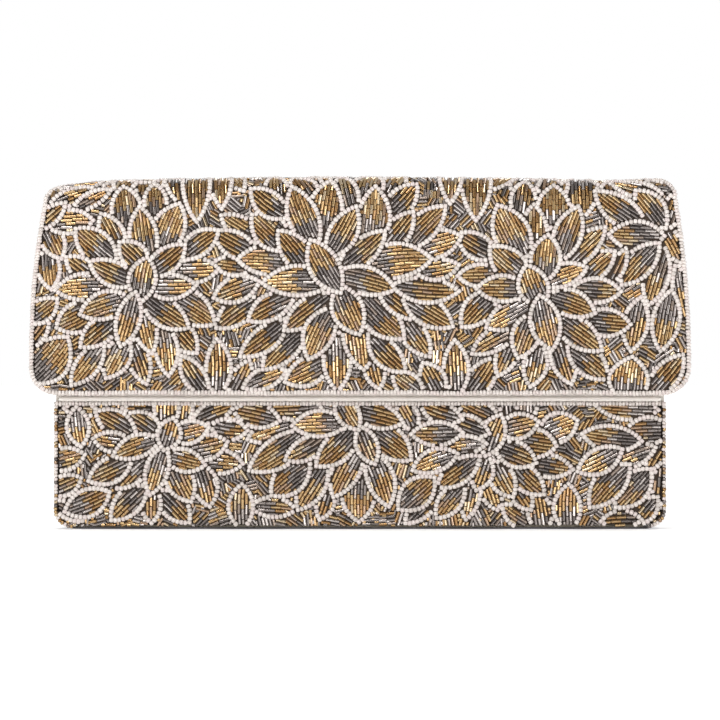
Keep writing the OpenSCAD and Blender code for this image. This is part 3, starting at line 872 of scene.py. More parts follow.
def make_beads(name, bed, place, zone, rides, node):
    """Makes a bed's beads whose (u, v) lies in zone, as pieces that rides() attaches, in place of a node."""
    for kind, beads, height in (("seed", bed.seeds, SEED_HEIGHT), ("bugle", bed.bugles, BUGLE_HEIGHT)):
        beads = np.array(beads, float)
        beads = beads[zone(beads[:, 0], beads[:, 1])]
        per = 2 * len(bead_rings(kind)) * (SEED_SIDES if kind == "seed" else BUGLE_SIDES)
        parts = math.ceil(len(beads) * per / MOST_TRIANGLES)
        beads = beads[np.argsort(beads[:, 0], kind="stable")]
        for number, part in enumerate(np.array_split(beads, parts)):
            part, centres, axes, outs = lift_beads(bed, place, part, height)
            count = len(part)
            if kind == "seed":
                tones = rng.choice(len(SEED_TONES), count, p=SEED_SHARES)
                lengths = rng.normal(SEED_LENGTH, 0.07, count)
                sizes = rng.normal(SEED_RADIUS, 0.045, count)
                materials = SEED_TONES
            else:
                gold = rng.choice(len(GOLD_TONES), count, p=GOLD_SHARES)
                gun = rng.choice(len(GUN_TONES), count, p=GUN_SHARES)
                tones = np.where(part[:, 5] > 0.5, gold, gun + len(GOLD_TONES))
                lengths = part[:, 4]
                sizes = rng.normal(1.0, 0.03, count)
                materials = GOLD_TONES + GUN_TONES
            tail = f"_{number + 1}" if parts > 1 else ""
            piece = bead_mesh(f"{name}_{kind}s{tail}", kind, centres, axes, outs, lengths, sizes, tones,
                              materials)
            attach(piece, rides, node)


def riding(body):
    return lambda piece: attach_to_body(piece, body)


def rear_blend(piece):
    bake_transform(piece)


def front_blend(piece):
    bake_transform(piece)


# The embroidery is split into pieces by flower, at these places across it
WIDE = 200
LEFT_EDGE, RIGHT_EDGE = -48, 40
TOP_PARTS = (
    ("front_fold", V_FLAP, V_FOLD, front_blend),
    ("spine", V_FOLD, V_SPINE, riding("spine")),
    ("rear_fold", V_SPINE, V_REAR, rear_blend),
)
for word, near_x, far_x in (
    ("left", -WIDE, LEFT_EDGE), ("middle", LEFT_EDGE, RIGHT_EDGE), ("right", RIGHT_EDGE, WIDE),
):
    make_beads(f"flap_{word}_flower", strip, strip_place,
               lambda u, v: (v <= V_FLAP) & (u > near_x) & (u <= far_x), riding("flap"), "flap_beadwork")
    make_beads(f"front_{word}_flower", front, front_place,
               lambda u, v: (u > near_x) & (u <= far_x), riding("front"), "front_beadwork")
for name, v0, v1, rides in (*TOP_PARTS, ("back", V_REAR, math.inf, riding("root"))):
    make_beads(name, strip, strip_place, lambda u, v: (v > v0) & (v <= v1), rides, f"{name}_beadwork")


def bead_row(name, path, place, radius, height, rides, node, mixed=False):
    """Seeds strung along a path of (u, v), height above the ground cloth, in place of a node. They're white,
    or gold, gunmetal and white when mixed."""
    path = np.array(path, float)
    far = line_lengths(path)
    count = round(far[-1] / EDGE_PITCH)
    where = (np.arange(count) + 0.5) * far[-1] / count
    way = points_along(path, far, where + 0.5) - points_along(path, far, where - 0.5)
    way = way / np.hypot(*way.T)[:, None]
    spot = jitter(points_along(path, far, where), 0.07)
    centres, along, outs = place(spot[:, 0], spot[:, 1], np.full(count, float(height)))
    axes = np.tile([1.0, 0, 0], (count, 1)) * way[:, :1] + along * way[:, 1:]
    tones = rng.choice(len(SEED_TONES), count, p=SEED_SHARES)
    materials = SEED_TONES
    if mixed:
        other = rng.choice(len(GOLD_TONES + GUN_TONES), count) + len(SEED_TONES)
        tones = np.where(rng.uniform(size=count) < MIXED_WHITE, tones, other)
        materials = SEED_TONES + GOLD_TONES + GUN_TONES
    lengths = np.full(count, EDGE_PITCH * 0.97)
    sizes = rng.normal(radius, 0.05, count)
    piece = bead_mesh(name, "seed", centres, jitter(axes, 0.03), outs, lengths, sizes, tones, materials)
    attach(piece, rides, node)


# A panel: half its width at a height, at its widest, its corners' radius and the height of its foot
FLAP = (flap_half, FLAP_HALF, FLAP_R, FLAP_Z)
BACK = (back_half, BODY_HALF, BODY_R, PANEL_Z)
FRONT = (front_half, BODY_HALF, BODY_R, PANEL_Z)


def panel_rows(panel, inset, top, steps=26, turns=9, most=math.pi / 2, corner_inset=None):
    """The right-hand edge of a panel drawn in by inset, as (x, z) from its top to its bottom."""
    half_at, widest, radius, foot = panel
    z = np.linspace(top, foot + radius, steps)
    turn = np.linspace(0, most, turns)[1:]
    r = radius - (inset if corner_inset is None else np.interp(turn, [0, 0.6], [inset, corner_inset]))
    x = np.concatenate([half_at(z) - inset, widest - radius + r * np.cos(turn)])
    return np.stack([x, np.concatenate([z, foot + radius - r * np.sin(turn)])], 1)


def flap_edge(inset):
    """The flap's edge from the top of one side, round the bottom, to the top of the other."""
    side = panel_rows(FLAP, inset, FOLD_Z, 40, 14)
    x = np.linspace(side[-1, 0], 0, 60)[1:]
    foot = np.stack([x, FLAP_Z + inset + 0.25 * np.sin(x / 21) * np.sin(x / 8.3)], 1)
    half = np.concatenate([side, foot])
    return np.concatenate([half, half[-2::-1] * [-1, 1]])


def strip_side(sign, v0, v1, inset):
    """One side of the strip from v0 to v1."""
    v = np.linspace(v0, v1, 30)
    return np.stack([sign * (strip_half(v) - inset), v], 1)


def back_edge(inset):
    """The back's edge from the top of one side, round the bottom, to the top of the other."""
    half = panel_rows(BACK, inset, FOLD_Z, 40, 10) * [1, -1] + [0, V_REAR + FOLD_Z]
    return np.concatenate([half, half[::-1] * [-1, 1]])


def front_side(sign, inset, corner_inset):
    """One side of the front panel below its border, with the turn of its lower corner."""
    return panel_rows(FRONT, inset, BORDER_TOP - 0.4, 20, 12, math.radians(88), corner_inset) * [sign, 1]


SIDES = (("left", -1), ("right", 1))
for tail, inset, radius, height in (
    ("", 1.1, 1.1, 1.0), ("_rear", 0.8, 0.9, -0.85), ("_last", 0.75, 0.85, -2.45),
):
    bead_row(f"flap_edge_row{tail}", flap_edge(inset), strip_place, radius, height, riding("flap"),
             "flap_edge_beads")
for word, sign in SIDES:
    for name, v0, v1, rides in TOP_PARTS:
        bead_row(f"{name}_edge_{word}", strip_side(sign, v0, v1, 0.9), strip_place, 1.0, 0.9, rides,
                 f"{name}_beadwork")
for tail, inset, height in (("", 0.9, 0.9), ("_rear", 0.75, -0.85)):
    bead_row(f"back_edge_row{tail}", back_edge(inset), strip_place, 0.92, height, riding("root"),
             "back_beadwork")
for word, sign in SIDES:
    for name, inset, corner_inset, height in (("row", 0.9, 0.15, 0.9), ("row_rear", 0.75, 0.75, -0.85)):
        bead_row(f"front_edge_{name}_{word}", front_side(sign, inset, corner_inset), front_place, 0.9, height,
                 riding("front"), "front_beadwork", mixed=True)
border_mid = (BORDER_FOOT + BORDER_TOP) / 2
border = [(x, border_mid) for x in (-BODY_HALF + 0.7, BODY_HALF - 0.7)]
bead_row("front_border_row", border, front_place, 1.14, 1.0, riding("front"), "front_bead_border")

# ---- cloth, boards and padding ----

# How far in from the beads' edge the cloth and the boards stop, their thickness, the hems and the
# columns of points across a sheet
EDGE_IN = 0.8
BOARD_IN = EDGE_IN + CLOTH_T
BOARD_T = 1.5
SHEET_T = 0.42
HEM = 7.0
CLOTH_EDGE_R = 0.9
COLUMNS = 96
SHARES = np.linspace(-1, 1, COLUMNS)


def make_piece(name, points, faces, material, body=None):
    """A mesh piece from points in millimetres."""
    mesh = bpy.data.meshes.new(name)
    mesh.from_pydata((np.array(points, float) * MM).tolist(), [], faces)
    mesh.validate()
    for polygon in mesh.polygons:
        polygon.use_smooth = True
    mesh.materials.append(material)
    piece = add_object(name, mesh)
    if body:
        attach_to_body(piece, body)
    return piece


def settle(piece):
    """Turns a piece's modifiers into its mesh."""
    bpy.context.view_layer.update()
    shown = piece.evaluated_get(bpy.context.evaluated_depsgraph_get())
    old = piece.data
    piece.data = bpy.data.meshes.new_from_object(shown)
    piece.modifiers.clear()
    bpy.data.meshes.remove(old)


def thicken(piece, thickness, offset):
    """Gives an open sheet its thickness and closes its edges."""
    solid = piece.modifiers.new("thickness", "SOLIDIFY")
    solid.thickness = thickness * MM
    solid.offset = offset
    settle(piece)


def grid_faces(rows, cols, first=0, flip=False):
    """Four-sided faces between the points of a grid, whose first point has the number first."""
    faces = []
    for i in range(rows - 1):
        for j in range(cols - 1):
            a = first + i * cols + j
            face = (a, a + 1, a + cols + 1, a + cols)
            faces.append(face[::-1] if flip else face)
    return faces


def ripple(points, size, wavelength, seed):
    """Small smooth unevenness, in millimetres, at each point."""
    p = np.array(points, float)
    x, z = p[:, 0] * ROUGH_TURN, p[:, 2] * ROUGH_TURN
    a = np.sin(x / wavelength + p[:, 2] * 0.11 + seed)
    b = np.sin(x / (wavelength * 0.37) - z / (wavelength * 0.9) + 2 * seed)
    c = np.sin(z / (wavelength * 1.6) + p[:, 0] * 0.07 + 3 * seed)
    return size * (a + 0.6 * b + 0.8 * c) / 2.4


def cloth(name, node, grid, material, thickness, body=None, offset=0.0, crown=False):
    """A sheet of cloth through a grid of points, thickened, in place of its CAD node."""
    grid = np.array(grid, float)
    rows, cols = grid.shape[:2]
    points = grid.reshape(-1, 3)
    if crown:
        points = crowned(points)
    piece = make_piece(name, points, grid_faces(rows, cols), material)
    thicken(piece, thickness, offset)
    if body:
        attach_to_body(piece, body)
    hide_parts(node)
    return piece


def panel_grid(panel, inset, top):
    """A panel's face as a grid of (x, z)."""
    rows = panel_rows(panel, inset, top)
    x = rows[:, :1] * SHARES[None]
    z = np.repeat(rows[:, 1:], COLUMNS, 1)
    return np.stack([x, z], 2)


def rim_of(rows, cols):
    """The places round a grid's edge: down the right, along the bottom, up the left, along the top."""
    right = [(i, cols - 1) for i in range(rows)]
    bottom = [(rows - 1, j) for j in range(cols - 2, -1, -1)]
    left = [(i, 0) for i in range(rows - 2, -1, -1)]
    top = [(0, j) for j in range(1, cols - 1)]
    return right + bottom + left + top


def panel_shell(name, panel, layers, top, material, lift, rear, sign, crown):
    """A panel-shaped shell through layers of (inset, y), closed by a face that looks along sign, where lift
    raises it. With rear it's closed behind too; without, it's open behind and along its top."""
    grids = [panel_grid(panel, inset, top) for inset, _ in layers]
    rows, cols = grids[0].shape[:2]
    rim = rim_of(rows, cols)
    flat = grids[0].reshape(-1, 2)
    y = np.full(rows * cols, float(layers[0][1]))
    if lift:
        y += sign * lift(flat[:, 0], flat[:, 1])
    points = [np.stack([flat[:, 0], y, flat[:, 1]], 1)]
    faces = grid_faces(rows, cols, flip=sign > 0)
    ring = [i * cols + j for i, j in rim]
    count = rows * cols
    for n, (_, depth) in enumerate(layers[1:], 1):
        spots = np.array([grids[n][i, j] for i, j in rim])
        new = list(range(count, count + len(rim)))
        if rear and n == len(layers) - 1:
            spots = grids[n].reshape(-1, 2)
            new = [count + i * cols + j for i, j in rim]
            faces += grid_faces(rows, cols, count, flip=sign < 0)
        points.append(np.stack([spots[:, 0], np.full(len(spots), float(depth)), spots[:, 1]], 1))
        count += len(spots)
        for k in range(len(rim)):
            m = (k + 1) % len(rim)
            if rear or rim[k][0] or rim[m][0]:
                face = (ring[k], ring[m], new[m], new[k])
                faces.append(face if sign < 0 else face[::-1])
        ring = new
    points = np.concatenate(points)
    return make_piece(name, crowned(points) if crown else points, faces, material)


def rounded(y0, y1, edge, inset):
    """Layers of a slab from y0 to y1 whose edges are rounded."""
    sign = 1 if y1 > y0 else -1
    turn = np.linspace(0, math.pi / 2, 4)
    out = [(inset + edge * (1 - math.sin(a)), y0 + sign * edge * (1 - math.cos(a))) for a in turn]
    return out + [(i, y1 + y0 - y) for i, y in reversed(out)]


def slab(name, node, panel, y0, y1, top, material, body, lift=None, sign=-1, crown=True, edge=0.35):
    """A closed board or pad, in place of its CAD node."""
    layers = rounded(y0, y1, edge, BOARD_IN + 0.2)
    piece = panel_shell(name, panel, layers, top, material, lift, True, sign, crown)
    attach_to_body(piece, body)
    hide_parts(node)


def cover(name, node, panel, y0, y1, top, body, lift, sign=-1, crown=True):
    """The ground cloth over a panel: a face, rounded edges and a hem turned in behind."""
    layers = rounded(y0, y1, CLOTH_EDGE_R, EDGE_IN) + [(EDGE_IN + HEM * k, y1) for k in (0.3, 1.0)]
    piece = panel_shell(name, panel, layers, top, GROUND_CLOTH_PAINTED_SHADE, lift, False, sign, crown)
    thicken(piece, SHEET_T, -1.0)
    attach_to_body(piece, body)
    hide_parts(node)


# the flap
flap_back_y = FLAP_IN - LINING_T
board_front = flap_back_y - BOARD_T
cover("flap_ground_cloth", "flap_cloth", FLAP, FLAP_FACE, flap_back_y, FOLD_Z, "flap", flap_puff)
slab("flap_pad", "flap_padding", FLAP, FLAP_FACE + CLOTH_T, board_front - 0.05, FOLD_Z - 1,
     WADDING, "flap", flap_puff, edge=0.5)
slab("flap_stiffener", "flap_board", FLAP, board_front, flap_back_y - 0.02, FOLD_Z - 1,
     CARD, "flap")

# the back
cover("back_ground_cloth", "back_cloth", BACK, BACK_FACE, BACK_IN + LINING_T, FOLD_Z, "root",
      back_puff, sign=1)
slab("back_stiffener", "back_board", BACK, BACK_FACE - CLOTH_T - 0.05, BACK_IN + LINING_T + 0.02, FOLD_Z - 1,
     CARD, "root", sign=1)

# the front panel
front_board_y = FRONT_IN - LINING_T - BOARD_T
cover("front_ground_cloth", "front_cloth", FRONT, FRONT_FACE, FRONT_IN - LINING_T, BORDER_FOOT, "front",
      front_puff, crown=False)
slab("front_pad", "front_padding", FRONT, FRONT_FACE + CLOTH_T, front_board_y - 0.05, MOUTH_Z - 0.4,
     WADDING, "front", front_puff, crown=False, edge=0.5)
slab("front_stiffener", "front_board", FRONT, front_board_y, FRONT_IN - LINING_T - 0.02, MOUTH_Z - 0.3,
     CARD, "front", crown=False)


def wrapped_yoke():
    """Satin over the front panel from behind its border row up, turned in at both sides."""
    half = BODY_HALF - EDGE_IN
    back = FRONT_IN - LINING_T
    turn = np.linspace(0, math.pi / 2, 5)
    r = CLOTH_EDGE_R
    side = [(half - HEM, back), (half - 1, back)]
    side += [(half - r * (1 - math.cos(a)), FRONT_FACE + r * (1 - math.sin(a))) for a in turn]
    path = side + [(x, FRONT_FACE) for x in np.linspace(half - 4, -half + 4, 90)]
    path += [(-x, y) for x, y in reversed(side)]
    grid = np.array([[(x, y, z) for x, y in path] for z in np.linspace(BORDER_FOOT + 0.1, MOUTH_Z - 0.4, 60)])
    flat = grid.reshape(-1, 3)
    on_face = np.clip((half - 2 - np.abs(flat[:, 0])) / 10, 0, 1)
    flat[:, 1] -= on_face * (0.12 + ripple(flat, 0.16, 31, 1.3))
    cloth("front_yoke_satin", "front_satin_yoke", grid, CREAM, SHEET_T, "front", 1.0)


wrapped_yoke()


def lining_run(word, panel, y, top, body, sign, tail=(), crown=True, seed=0.0):
    """A lining that covers a panel's inner face and, with tail, runs on over its top edge."""
    rows = panel_rows(panel, EDGE_IN + 0.5, top)[::-1]
    line = [(x, y, z) for x, z in rows]
    line += [(rows[-1, 0], ty, tz) for ty, tz in tail]
    grid = np.array([[(x * s, yy, z) for s in SHARES] for x, yy, z in line])
    flat = grid.reshape(-1, 3)
    room = np.clip((rows[-1, 0] - np.abs(flat[:, 0])) / 12, 0, 1) * np.clip((top - flat[:, 2]) / 10, 0, 1)
    flat[:, 1] += sign * room * (0.1 + ripple(flat, 0.1, 37, seed))
    cloth(f"{word}_lining_satin", f"{word}_lining", grid, LINING, 0.4, body, crown=crown)


def turned_top(y_face, sign):
    """A lining's path from a panel's face over the board's top edge, out to the fold's lining."""
    fold_edge = -sign * (FOLD_Y + LINING_R + LINING_T / 2)
    r = 0.8
    out = []
    for a in np.linspace(0.3, math.pi / 2, 4):
        out.append((y_face - sign * r * (1 - math.cos(a)), FOLD_Z - 1.0 + r * math.sin(a) - 0.1))
    start = y_face - sign * r
    return out + [(start + (fold_edge - start) * k, FOLD_Z - 0.3 + 0.25 * k) for k in (0.4, 0.75, 1.0)]


flap_lining_y = FLAP_IN - LINING_T / 2
back_lining_y = BACK_IN + LINING_T / 2
lining_run("flap", FLAP, flap_lining_y, FOLD_Z - 1.2, "flap", 1, turned_top(flap_lining_y, 1), seed=0.4)
lining_run("back", BACK, back_lining_y, FOLD_Z - 1.2, "root", -1, turned_top(back_lining_y, -1), seed=2.1)
lining_run("front", FRONT, FRONT_IN - LINING_T / 2, MOUTH_Z - 0.5, "front", 1, crown=False, seed=3.3)


def fold_sheet(name, node, radius, side, material, blend_it):
    """A quarter turn of cloth at the front (side -1) or the back (side 1)."""
    grid = []
    for a in np.linspace(0, math.pi / 2, 15):
        half = FOLD_HALF - SHOULDER_R + SHOULDER_R * math.cos(a) - EDGE_IN
        y, z = side * (FOLD_Y + radius * math.cos(a)), FOLD_Z + radius * math.sin(a)
        grid.append([(half * s, y, z) for s in SHARES])
    blend_it(cloth(name, node, grid, material, SHEET_T, crown=True))


def spine_sheet(name, node, height, material, sag):
    """The flat cloth along the top, between the folds."""
    half = FOLD_HALF - SHOULDER_R - EDGE_IN
    grid = np.array([[(half * s, y, height) for s in SHARES] for y in np.linspace(-FOLD_Y, FOLD_Y, 12)])
    flat = grid.reshape(-1, 3)
    give = 1 - (flat[:, 1] / FOLD_Y) ** 2
    flat[:, 2] -= sag * give * (0.5 + 0.5 * np.sin(flat[:, 0] / 9.0))
    cloth(name, node, grid, material, SHEET_T, "spine", crown=True)


LAYERS = (
    ("ground_cloth", "cloth", GROUND_R - CLOTH_T / 2, GROUND_CLOTH_PAINTED_SHADE, 0),
    ("lining_satin", "lining", LINING_R + LINING_T / 2, LINING, 0.25),
)
for word, side, blend_it in (("front_fold", -1, front_blend), ("rear_fold", 1, rear_blend)):
    for slot, node, radius, material, _ in LAYERS:
        fold_sheet(f"{word}_{slot}", f"{word}_{node}", radius, side, material, blend_it)
for slot, node, radius, material, sag in LAYERS:
    spine_sheet(f"spine_{slot}", f"spine_{node}", FOLD_Z + radius, material, sag)


FOLD_SOFTNESS = 0.012


def gusset(side, word):
    """A side wall of lining satin, folded inward along its middle."""
    node = f"gusset_{word}"
    x0, y0, y1 = BODY_HALF - BOARD_IN, BACK_IN - 0.3, FRONT_IN + 0.6
    z0, z1 = low(node)[2], high(node)[2]
    depth = x0 - abs(side * (low if side > 0 else high)(node)[0])
    t = np.linspace(-1, 1, 25)
    inward = (depth - 0.5) * (1 - np.sqrt(t ** 2 + FOLD_SOFTNESS)) / (1 - math.sqrt(FOLD_SOFTNESS))
    inward = np.clip(inward, 0, None)
    grid = []
    for z in np.linspace(z0, z1, 46):
        share = (z - z0) / (z1 - z0)
        wave = 0.25 * np.sin(z / 8.0 + 2 * t) * (1 - np.abs(t)) + 0.3 * share * np.sin(3 * t)
        grid.append([(side * (x0 - 0.6 - d - w), (y0 + y1) / 2 + (y0 - y1) / 2 * k, z)
                     for d, w, k in zip(inward, wave, t)])
    piece = cloth(f"{node}_satin", node, grid, CREAM, 0.4)
    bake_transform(piece)


for word, side in SIDES:
    gusset(side, word)


def binding():
    """The satin tape folded over the mouth of the front panel."""
    foot, top = low("mouth_binding")[2], high("mouth_binding")[2]
    y0, y1 = low("mouth_binding")[1] + 0.15, high("mouth_binding")[1] - 0.15
    path = [(y0, foot), (y0, foot + 1.6), (y0, top - 1.6)]
    for a in np.linspace(0, math.pi, 9)[1:-1]:
        path.append(((y0 + y1) / 2 - (y1 - y0) / 2 * math.cos(a), top - 1.0 + 0.75 * math.sin(a)))
    path += [(y1, top - 1.6), (y1, foot + 1.6), (y1, foot)]
    half = BODY_HALF - EDGE_IN
    grid = np.array([[(half * s, y, z) for s in np.linspace(-1, 1, 150)] for y, z in path])
    flat = grid.reshape(-1, 3)
    flat[:, 2] += 0.1 * np.sin(flat[:, 0] / 3.1)
    cloth("mouth_binding_tape", "mouth_binding", grid, CREAM, 0.4, "front")


def slip_pocket():
    """A flat pocket of satin on the back wall, a little open at its top."""
    (x0, _, z0), (x1, y1, z1) = low("slip_pocket"), high("slip_pocket")
    across, up = np.linspace(x0, x1, 60), np.linspace(z0, z1, 44)
    s = 1 - (2 * (across - x0) / (x1 - x0) - 1) ** 6
    t = (up - z0) / (z1 - z0)
    belly = np.outer(np.minimum(1, t * 8) * (0.55 + 0.45 * t), s)
    grid = np.zeros((len(up), len(across), 3))
    grid[..., 0] = across[None]
    grid[..., 1] = y1 - 0.45 - 0.75 * belly
    grid[..., 2] = up[:, None]
    flat = grid.reshape(-1, 3)
    flat[:, 1] -= ripple(flat, 0.10, 41, 5.0) * np.clip(belly.reshape(-1), 0, 1)
    cloth("slip_pocket_satin", "slip_pocket", grid, CREAM, 0.35, "root")


BASE_LIFT, BASE_DRAWN_IN = 0.4, 2.7


def base_cover():
    """Grey satin round the bottom, drawn up at the corners, where it stops between the faces' beads."""
    y0, y1 = low("base_cloth")[1] + 0.1, high("base_cloth")[1] - 0.1
    reach = BODY_HALF - BODY_R
    radius = PANEL_Z + BODY_R - BASE_LIFT
    turn = np.linspace(math.radians(58), 0, 9)
    rounds = [(a, radius - (PANEL_Z - 0.2) * smooth(a / turn[0])) for a in turn]
    corner = [(reach + r * math.sin(a), PANEL_Z + BODY_R - r * math.cos(a)) for a, r in rounds]
    line = corner + [(x, BASE_LIFT) for x in np.linspace(reach, -reach, 80)[1:-1]]
    line += [(-x, z) for x, z in reversed(corner)]
    inset = {x: BASE_DRAWN_IN * min(max((abs(x) - reach + 4) / 4, 0), 1) for x, _ in line}
    grid = np.array([[(x, y0 + inset[x] + (y1 - y0 - 2 * inset[x]) * share, z) for x, z in line]
                     for share in np.linspace(0, 1, 14)])
    flat = grid.reshape(-1, 3)
    flat[:, 2] += 0.14 * (0.5 + 0.5 * np.sin(flat[:, 0] / 7.3 + flat[:, 1] / 5))
    cloth("base_satin", "base_cloth", grid, GREY, 0.6, "root")


def base_inside():
    """The floor of the pouch."""
    (x0, y0, z0), (x1, y1, z1) = low("base_lining"), high("base_lining")
    grid = np.array([[(x, y, (z0 + z1) / 2) for x in np.linspace(x0, x1, 90)]
                     for y in np.linspace(y0, y1, 12)])
    flat = grid.reshape(-1, 3)
    flat[:, 2] += 0.12 * np.sin(flat[:, 0] / 11.0 + flat[:, 1] / 4.0)
    cloth("base_lining_satin", "base_lining", grid, LINING, 0.4, "root")


def piping():
    """Piping: one strip of satin folded round its filler, both edges sewn up behind the flap's board."""
    core_low, core_high = low("flap_piping_cord"), high("flap_piping_cord")
    half, top = high("flap_piping")[0], high("flap_piping")[2]
    cy, cz = (core_low[1] + core_high[1]) / 2, (core_low[2] + core_high[2]) / 2
    radius = (core_high[1] - core_low[1]) / 2 + 0.2
    seam_y = high("flap_piping")[1] - 0.2
    start = math.atan2(0.75, seam_y - cy)
    turn = np.linspace(start - 0.12, start - 2 * math.pi + 0.12, 25)
    heights = np.linspace(top - 0.1, cz + radius + 0.3, 5)
    grid = []
    for x in np.linspace(-half, half, 360):
        close = math.sqrt(np.clip((half - abs(x)) / 1.2, 0.03, 1))
        rounds = [(a, close * (radius + 0.03 * math.sin(1.9 * x + 2 * a))) for a in turn]
        profile = [(seam_y + 0.1, z) for z in heights]
        profile += [(cy + r * math.cos(a), cz + r * math.sin(a)) for a, r in rounds]
        profile += [(seam_y - 0.1, z) for z in heights[::-1]]
        grid.append([(x, y, z) for y, z in profile])
    cloth("flap_piping_satin", "flap_piping", grid, PIPING_LIT_SATIN, 0.15, "flap")


for make in (binding, slip_pocket, base_cover, base_inside, piping):
    make()

# The soft pieces. A sheet has the flat width and length of its cut, how it's held and what it rests on.
ON_FLAP, ON_FRONT = ["flap_board", "flap_padding"], ["front_board", "front_padding"]
ON_TOP = ["flap_board", "back_board"]
SOFT = (
    ("flap_ground_cloth", 300, 105, "stretched", ON_FLAP),
    ("flap_pad",),
    ("back_ground_cloth", 290, 160, "stretched", ["back_board"]),
    ("front_ground_cloth", 282, 66, "stretched", ON_FRONT),
    ("front_pad",),
    ("front_yoke_satin", 276, 86, "stretched", ON_FRONT),
    ("flap_lining_satin", 280, 92, "stretched", ["flap_board"]),
    ("back_lining_satin", 268, 148, "stretched", ["back_board"]),
    ("front_lining_satin", 260, 137, "stretched", ["front_board"]),
    ("front_fold_ground_cloth", 268, 11, "stretched", ON_TOP),
    ("front_fold_lining_satin", 268, 11, "stretched", ON_TOP),
    ("rear_fold_ground_cloth", 268, 11, "stretched", ON_TOP),
    ("rear_fold_lining_satin", 268, 11, "stretched", ON_TOP),
    ("spine_ground_cloth", 254, 15, "stretched", ON_TOP),
    ("spine_lining_satin", 254, 15, "stretched", ON_TOP),
    ("gusset_left_satin", 32, 126, "folded", ["back_board", "front_board"]),
    ("gusset_right_satin", 32, 126, "folded", ["back_board", "front_board"]),
    ("mouth_binding_tape", 258, 16, "folded", ["front_board"]),
    ("slip_pocket_satin", 122, 78, "stretched", ["back_lining_satin"]),
    ("base_satin", 268, 24, "stretched", ["base_board"]),
    ("base_lining_satin", 242, 14, "laid", ["base_board"]),
    ("flap_piping_satin", 255, 18, "folded", ["flap_board", "flap_piping_cord"]),
)
for name, *cut in SOFT:
    if not cut:
        continue

# ---- thread ----

THREAD = plain("ivory_thread", (0.80, 0.74, 0.65), 0, 0.55)
THREAD_R = 0.11


def stitches(name, path, pitch, body, outward):
    """Short stitches along a path, each a little raised capsule."""
    path = np.array(path, float)
    far = np.concatenate([[0], np.cumsum(np.linalg.norm(np.diff(path, axis=0), axis=1))])
    where = (np.arange(int(far[-1] / pitch)) + 0.5) * pitch
    spot = points_along(path, far, where)
    ahead = points_along(path, far, where + 0.2) - spot
    ring = [(-0.5, 0.25), (-0.36, 0.8), (0, 1.0), (0.36, 0.8), (0.5, 0.25)]
    sides = 6
    points, faces = [], []
    outward = np.array(outward, float)
    for p, d in zip(spot, ahead):
        d = d / np.linalg.norm(d)
        across = np.cross(outward, d)
        base = len(points)
        for share, size in ring:
            dip = outward * (THREAD_R * 0.5 - THREAD_R * 2.2 * share ** 2)
            for k in range(sides):
                a = 2 * math.pi * k / sides
                side = across * math.cos(a) + outward * math.sin(a)
                points.append(p + d * share * pitch * 0.72 + side * size * THREAD_R + dip)
        for j in range(len(ring) - 1):
            for k in range(sides):
                b = (k + 1) % sides
                faces.append((base + j * sides + k, base + j * sides + b,
                              base + (j + 1) * sides + b, base + (j + 1) * sides + k))
        faces.append(tuple(base + k for k in reversed(range(sides))))
        faces.append(tuple(base + (len(ring) - 1) * sides + k for k in range(sides)))
    make_piece(name, points, faces, THREAD, body)


(px0, _, pz0), (px1, py1, pz1) = low("slip_pocket"), high("slip_pocket")
pocket_y, hem_y = py1 - 0.68, py1 - 1.42
bind_foot = low("mouth_binding")[2] + 0.9
bind_front, bind_back = low("mouth_binding")[1] - 0.06, high("mouth_binding")[1] + 0.06
half = BODY_HALF - 2
stitches("slip_pocket_stitches",
         [(px0 + 1.2, pocket_y, pz1 - 1), (px0 + 1.2, pocket_y, pz0 + 1.2),
          (px1 - 1.2, pocket_y, pz0 + 1.2), (px1 - 1.2, pocket_y, pz1 - 1)], 2.0, "root", (0, -1, 0))
stitches("slip_pocket_hem_stitches", [(px0 + 3, hem_y, pz1 - 4), (px1 - 3, hem_y, pz1 - 4)], 2.0,
         "root", (0, -1, 0))
for word, y, outward in (("front", bind_front, (0, -1, 0)), ("back", bind_back, (0, 1, 0))):
    stitches(f"binding_stitches_{word}", [(-half, y, bind_foot), (half, y, bind_foot)], 2.1, "front", outward)

# ---- CAD nodes that stay, in better materials ----

for name, material in (
    ("snap_socket", NICKEL), ("snap_stud", NICKEL), ("snap_socket_washer", NICKEL),
    ("snap_stud_washer", NICKEL), ("snap_magnet", IRON), ("base_board", CARD), ("flap_piping_cord", WADDING),
):
    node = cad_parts[name]
    node.data.materials.clear()
    node.data.materials.append(material)

# ---- studio ----

# The width seen at the back of the purse, in millimetres, and the camera's place, in metres
VIEW_MM = 304
CAMERA_Y = -1.5
CAMERA_Z = 0.0719
SENSOR = 36
camera = add_object("camera", bpy.data.cameras.new("camera"))
camera.location = (0, CAMERA_Y, CAMERA_Z)
camera.rotation_euler = (math.pi / 2, 0, 0)
camera.data.sensor_width = SENSOR
camera.data.lens = SENSOR * (-CAMERA_Y - BACK_Y * MM) / (VIEW_MM * MM)
camera.data.clip_end = 20
bpy.context.scene.camera = camera


def area_light(name, spot, target, width, height, power):
    """A soft light at a spot, turned to its target."""
    data = bpy.data.lights.new(name, "AREA")
    data.shape = "RECTANGLE"
    data.size, data.size_y = width, height
    data.energy = power
    light = add_object(name, data)
    light.location = spot
    light.rotation_euler = (Vector(target) - Vector(spot)).to_track_quat("-Z", "Y").to_euler()


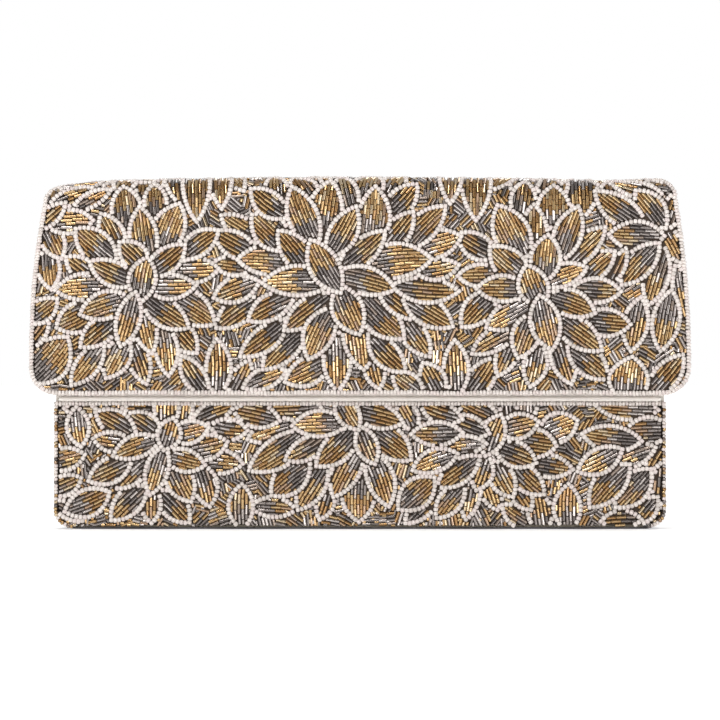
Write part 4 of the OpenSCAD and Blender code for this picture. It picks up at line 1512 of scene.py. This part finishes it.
middle = (0, 0, 0.07)
area_light("key", (-0.2, -0.7, 0.85), middle, 0.34, 0.16, 4.0)
area_light("fill_left", (-0.9, -0.8, 0.30), middle, 0.25, 0.7, 2.0)
area_light("fill_right", (0.9, -0.9, 0.25), middle, 0.25, 0.7, 1.6)
area_light("rear", (0.3, 1.0, 0.9), middle, 0.8, 0.6, 4)
area_light("fill_low", (0, -1.0, 0.03), (0, 0, 0.05), 1.2, 0.08, 1.9)

# How bright the world is ahead and behind, how much the floor glows under the purse, and its reach
WORLD_FRONT, WORLD_REAR = 0.12, 0.7
FLOOR_GLOW = 0.42
FLOOR_REACH = 8.0


def studio_world():
    """Soft light all round, weakest from the front so that the metal keeps its contrast."""
    world = bpy.data.worlds.new("studio")
    n = Nodes(world, "Generated")
    split = n.add("ShaderNodeSeparateXYZ", Vector=n.place)
    span = n.add("ShaderNodeMapRange", Value=split.outputs["Y"], From_Min=-1, From_Max=0.4,
                 To_Min=WORLD_FRONT, To_Max=WORLD_REAR)
    seen = n.add("ShaderNodeLightPath").outputs["Is Camera Ray"]
    background = n.tree.nodes["Background"]
    n.put(background.inputs["Strength"], n.maths("MAXIMUM", span.outputs["Result"], seen))
    n.put(background.inputs["Color"], (1, 1, 1, 1))
    bpy.context.scene.world = world


def studio_floor():
    """A pale floor, bright enough to run into the white behind it."""
    mesh = bpy.data.meshes.new("floor")
    corners = [(x * FLOOR_REACH, y * FLOOR_REACH, 0) for x, y in ((-1, -1), (1, -1), (1, 1), (-1, 1))]
    mesh.from_pydata(corners, [], [(0, 1, 2, 3)])
    paper = plain("floor_paper", (0.90, 0.90, 0.90), 0, 0.9, specular=0.1)
    n = Nodes(paper)
    away = n.add("ShaderNodeVectorMath")
    away.operation = "LENGTH"
    n.put(away.inputs[0], n.place)
    glow = n.add("ShaderNodeMapRange", Value=away.outputs["Value"], From_Min=0.3, From_Max=1.5,
                 To_Min=FLOOR_GLOW, To_Max=1.0)
    n.put(n.shader.inputs["Emission Color"], (1, 1, 1, 1))
    n.put(n.shader.inputs["Emission Strength"], glow.outputs["Result"])
    mesh.materials.append(paper)
    add_object("floor", mesh)


studio_world()
studio_floor()
bpy.context.scene.view_settings.view_transform = "Standard"
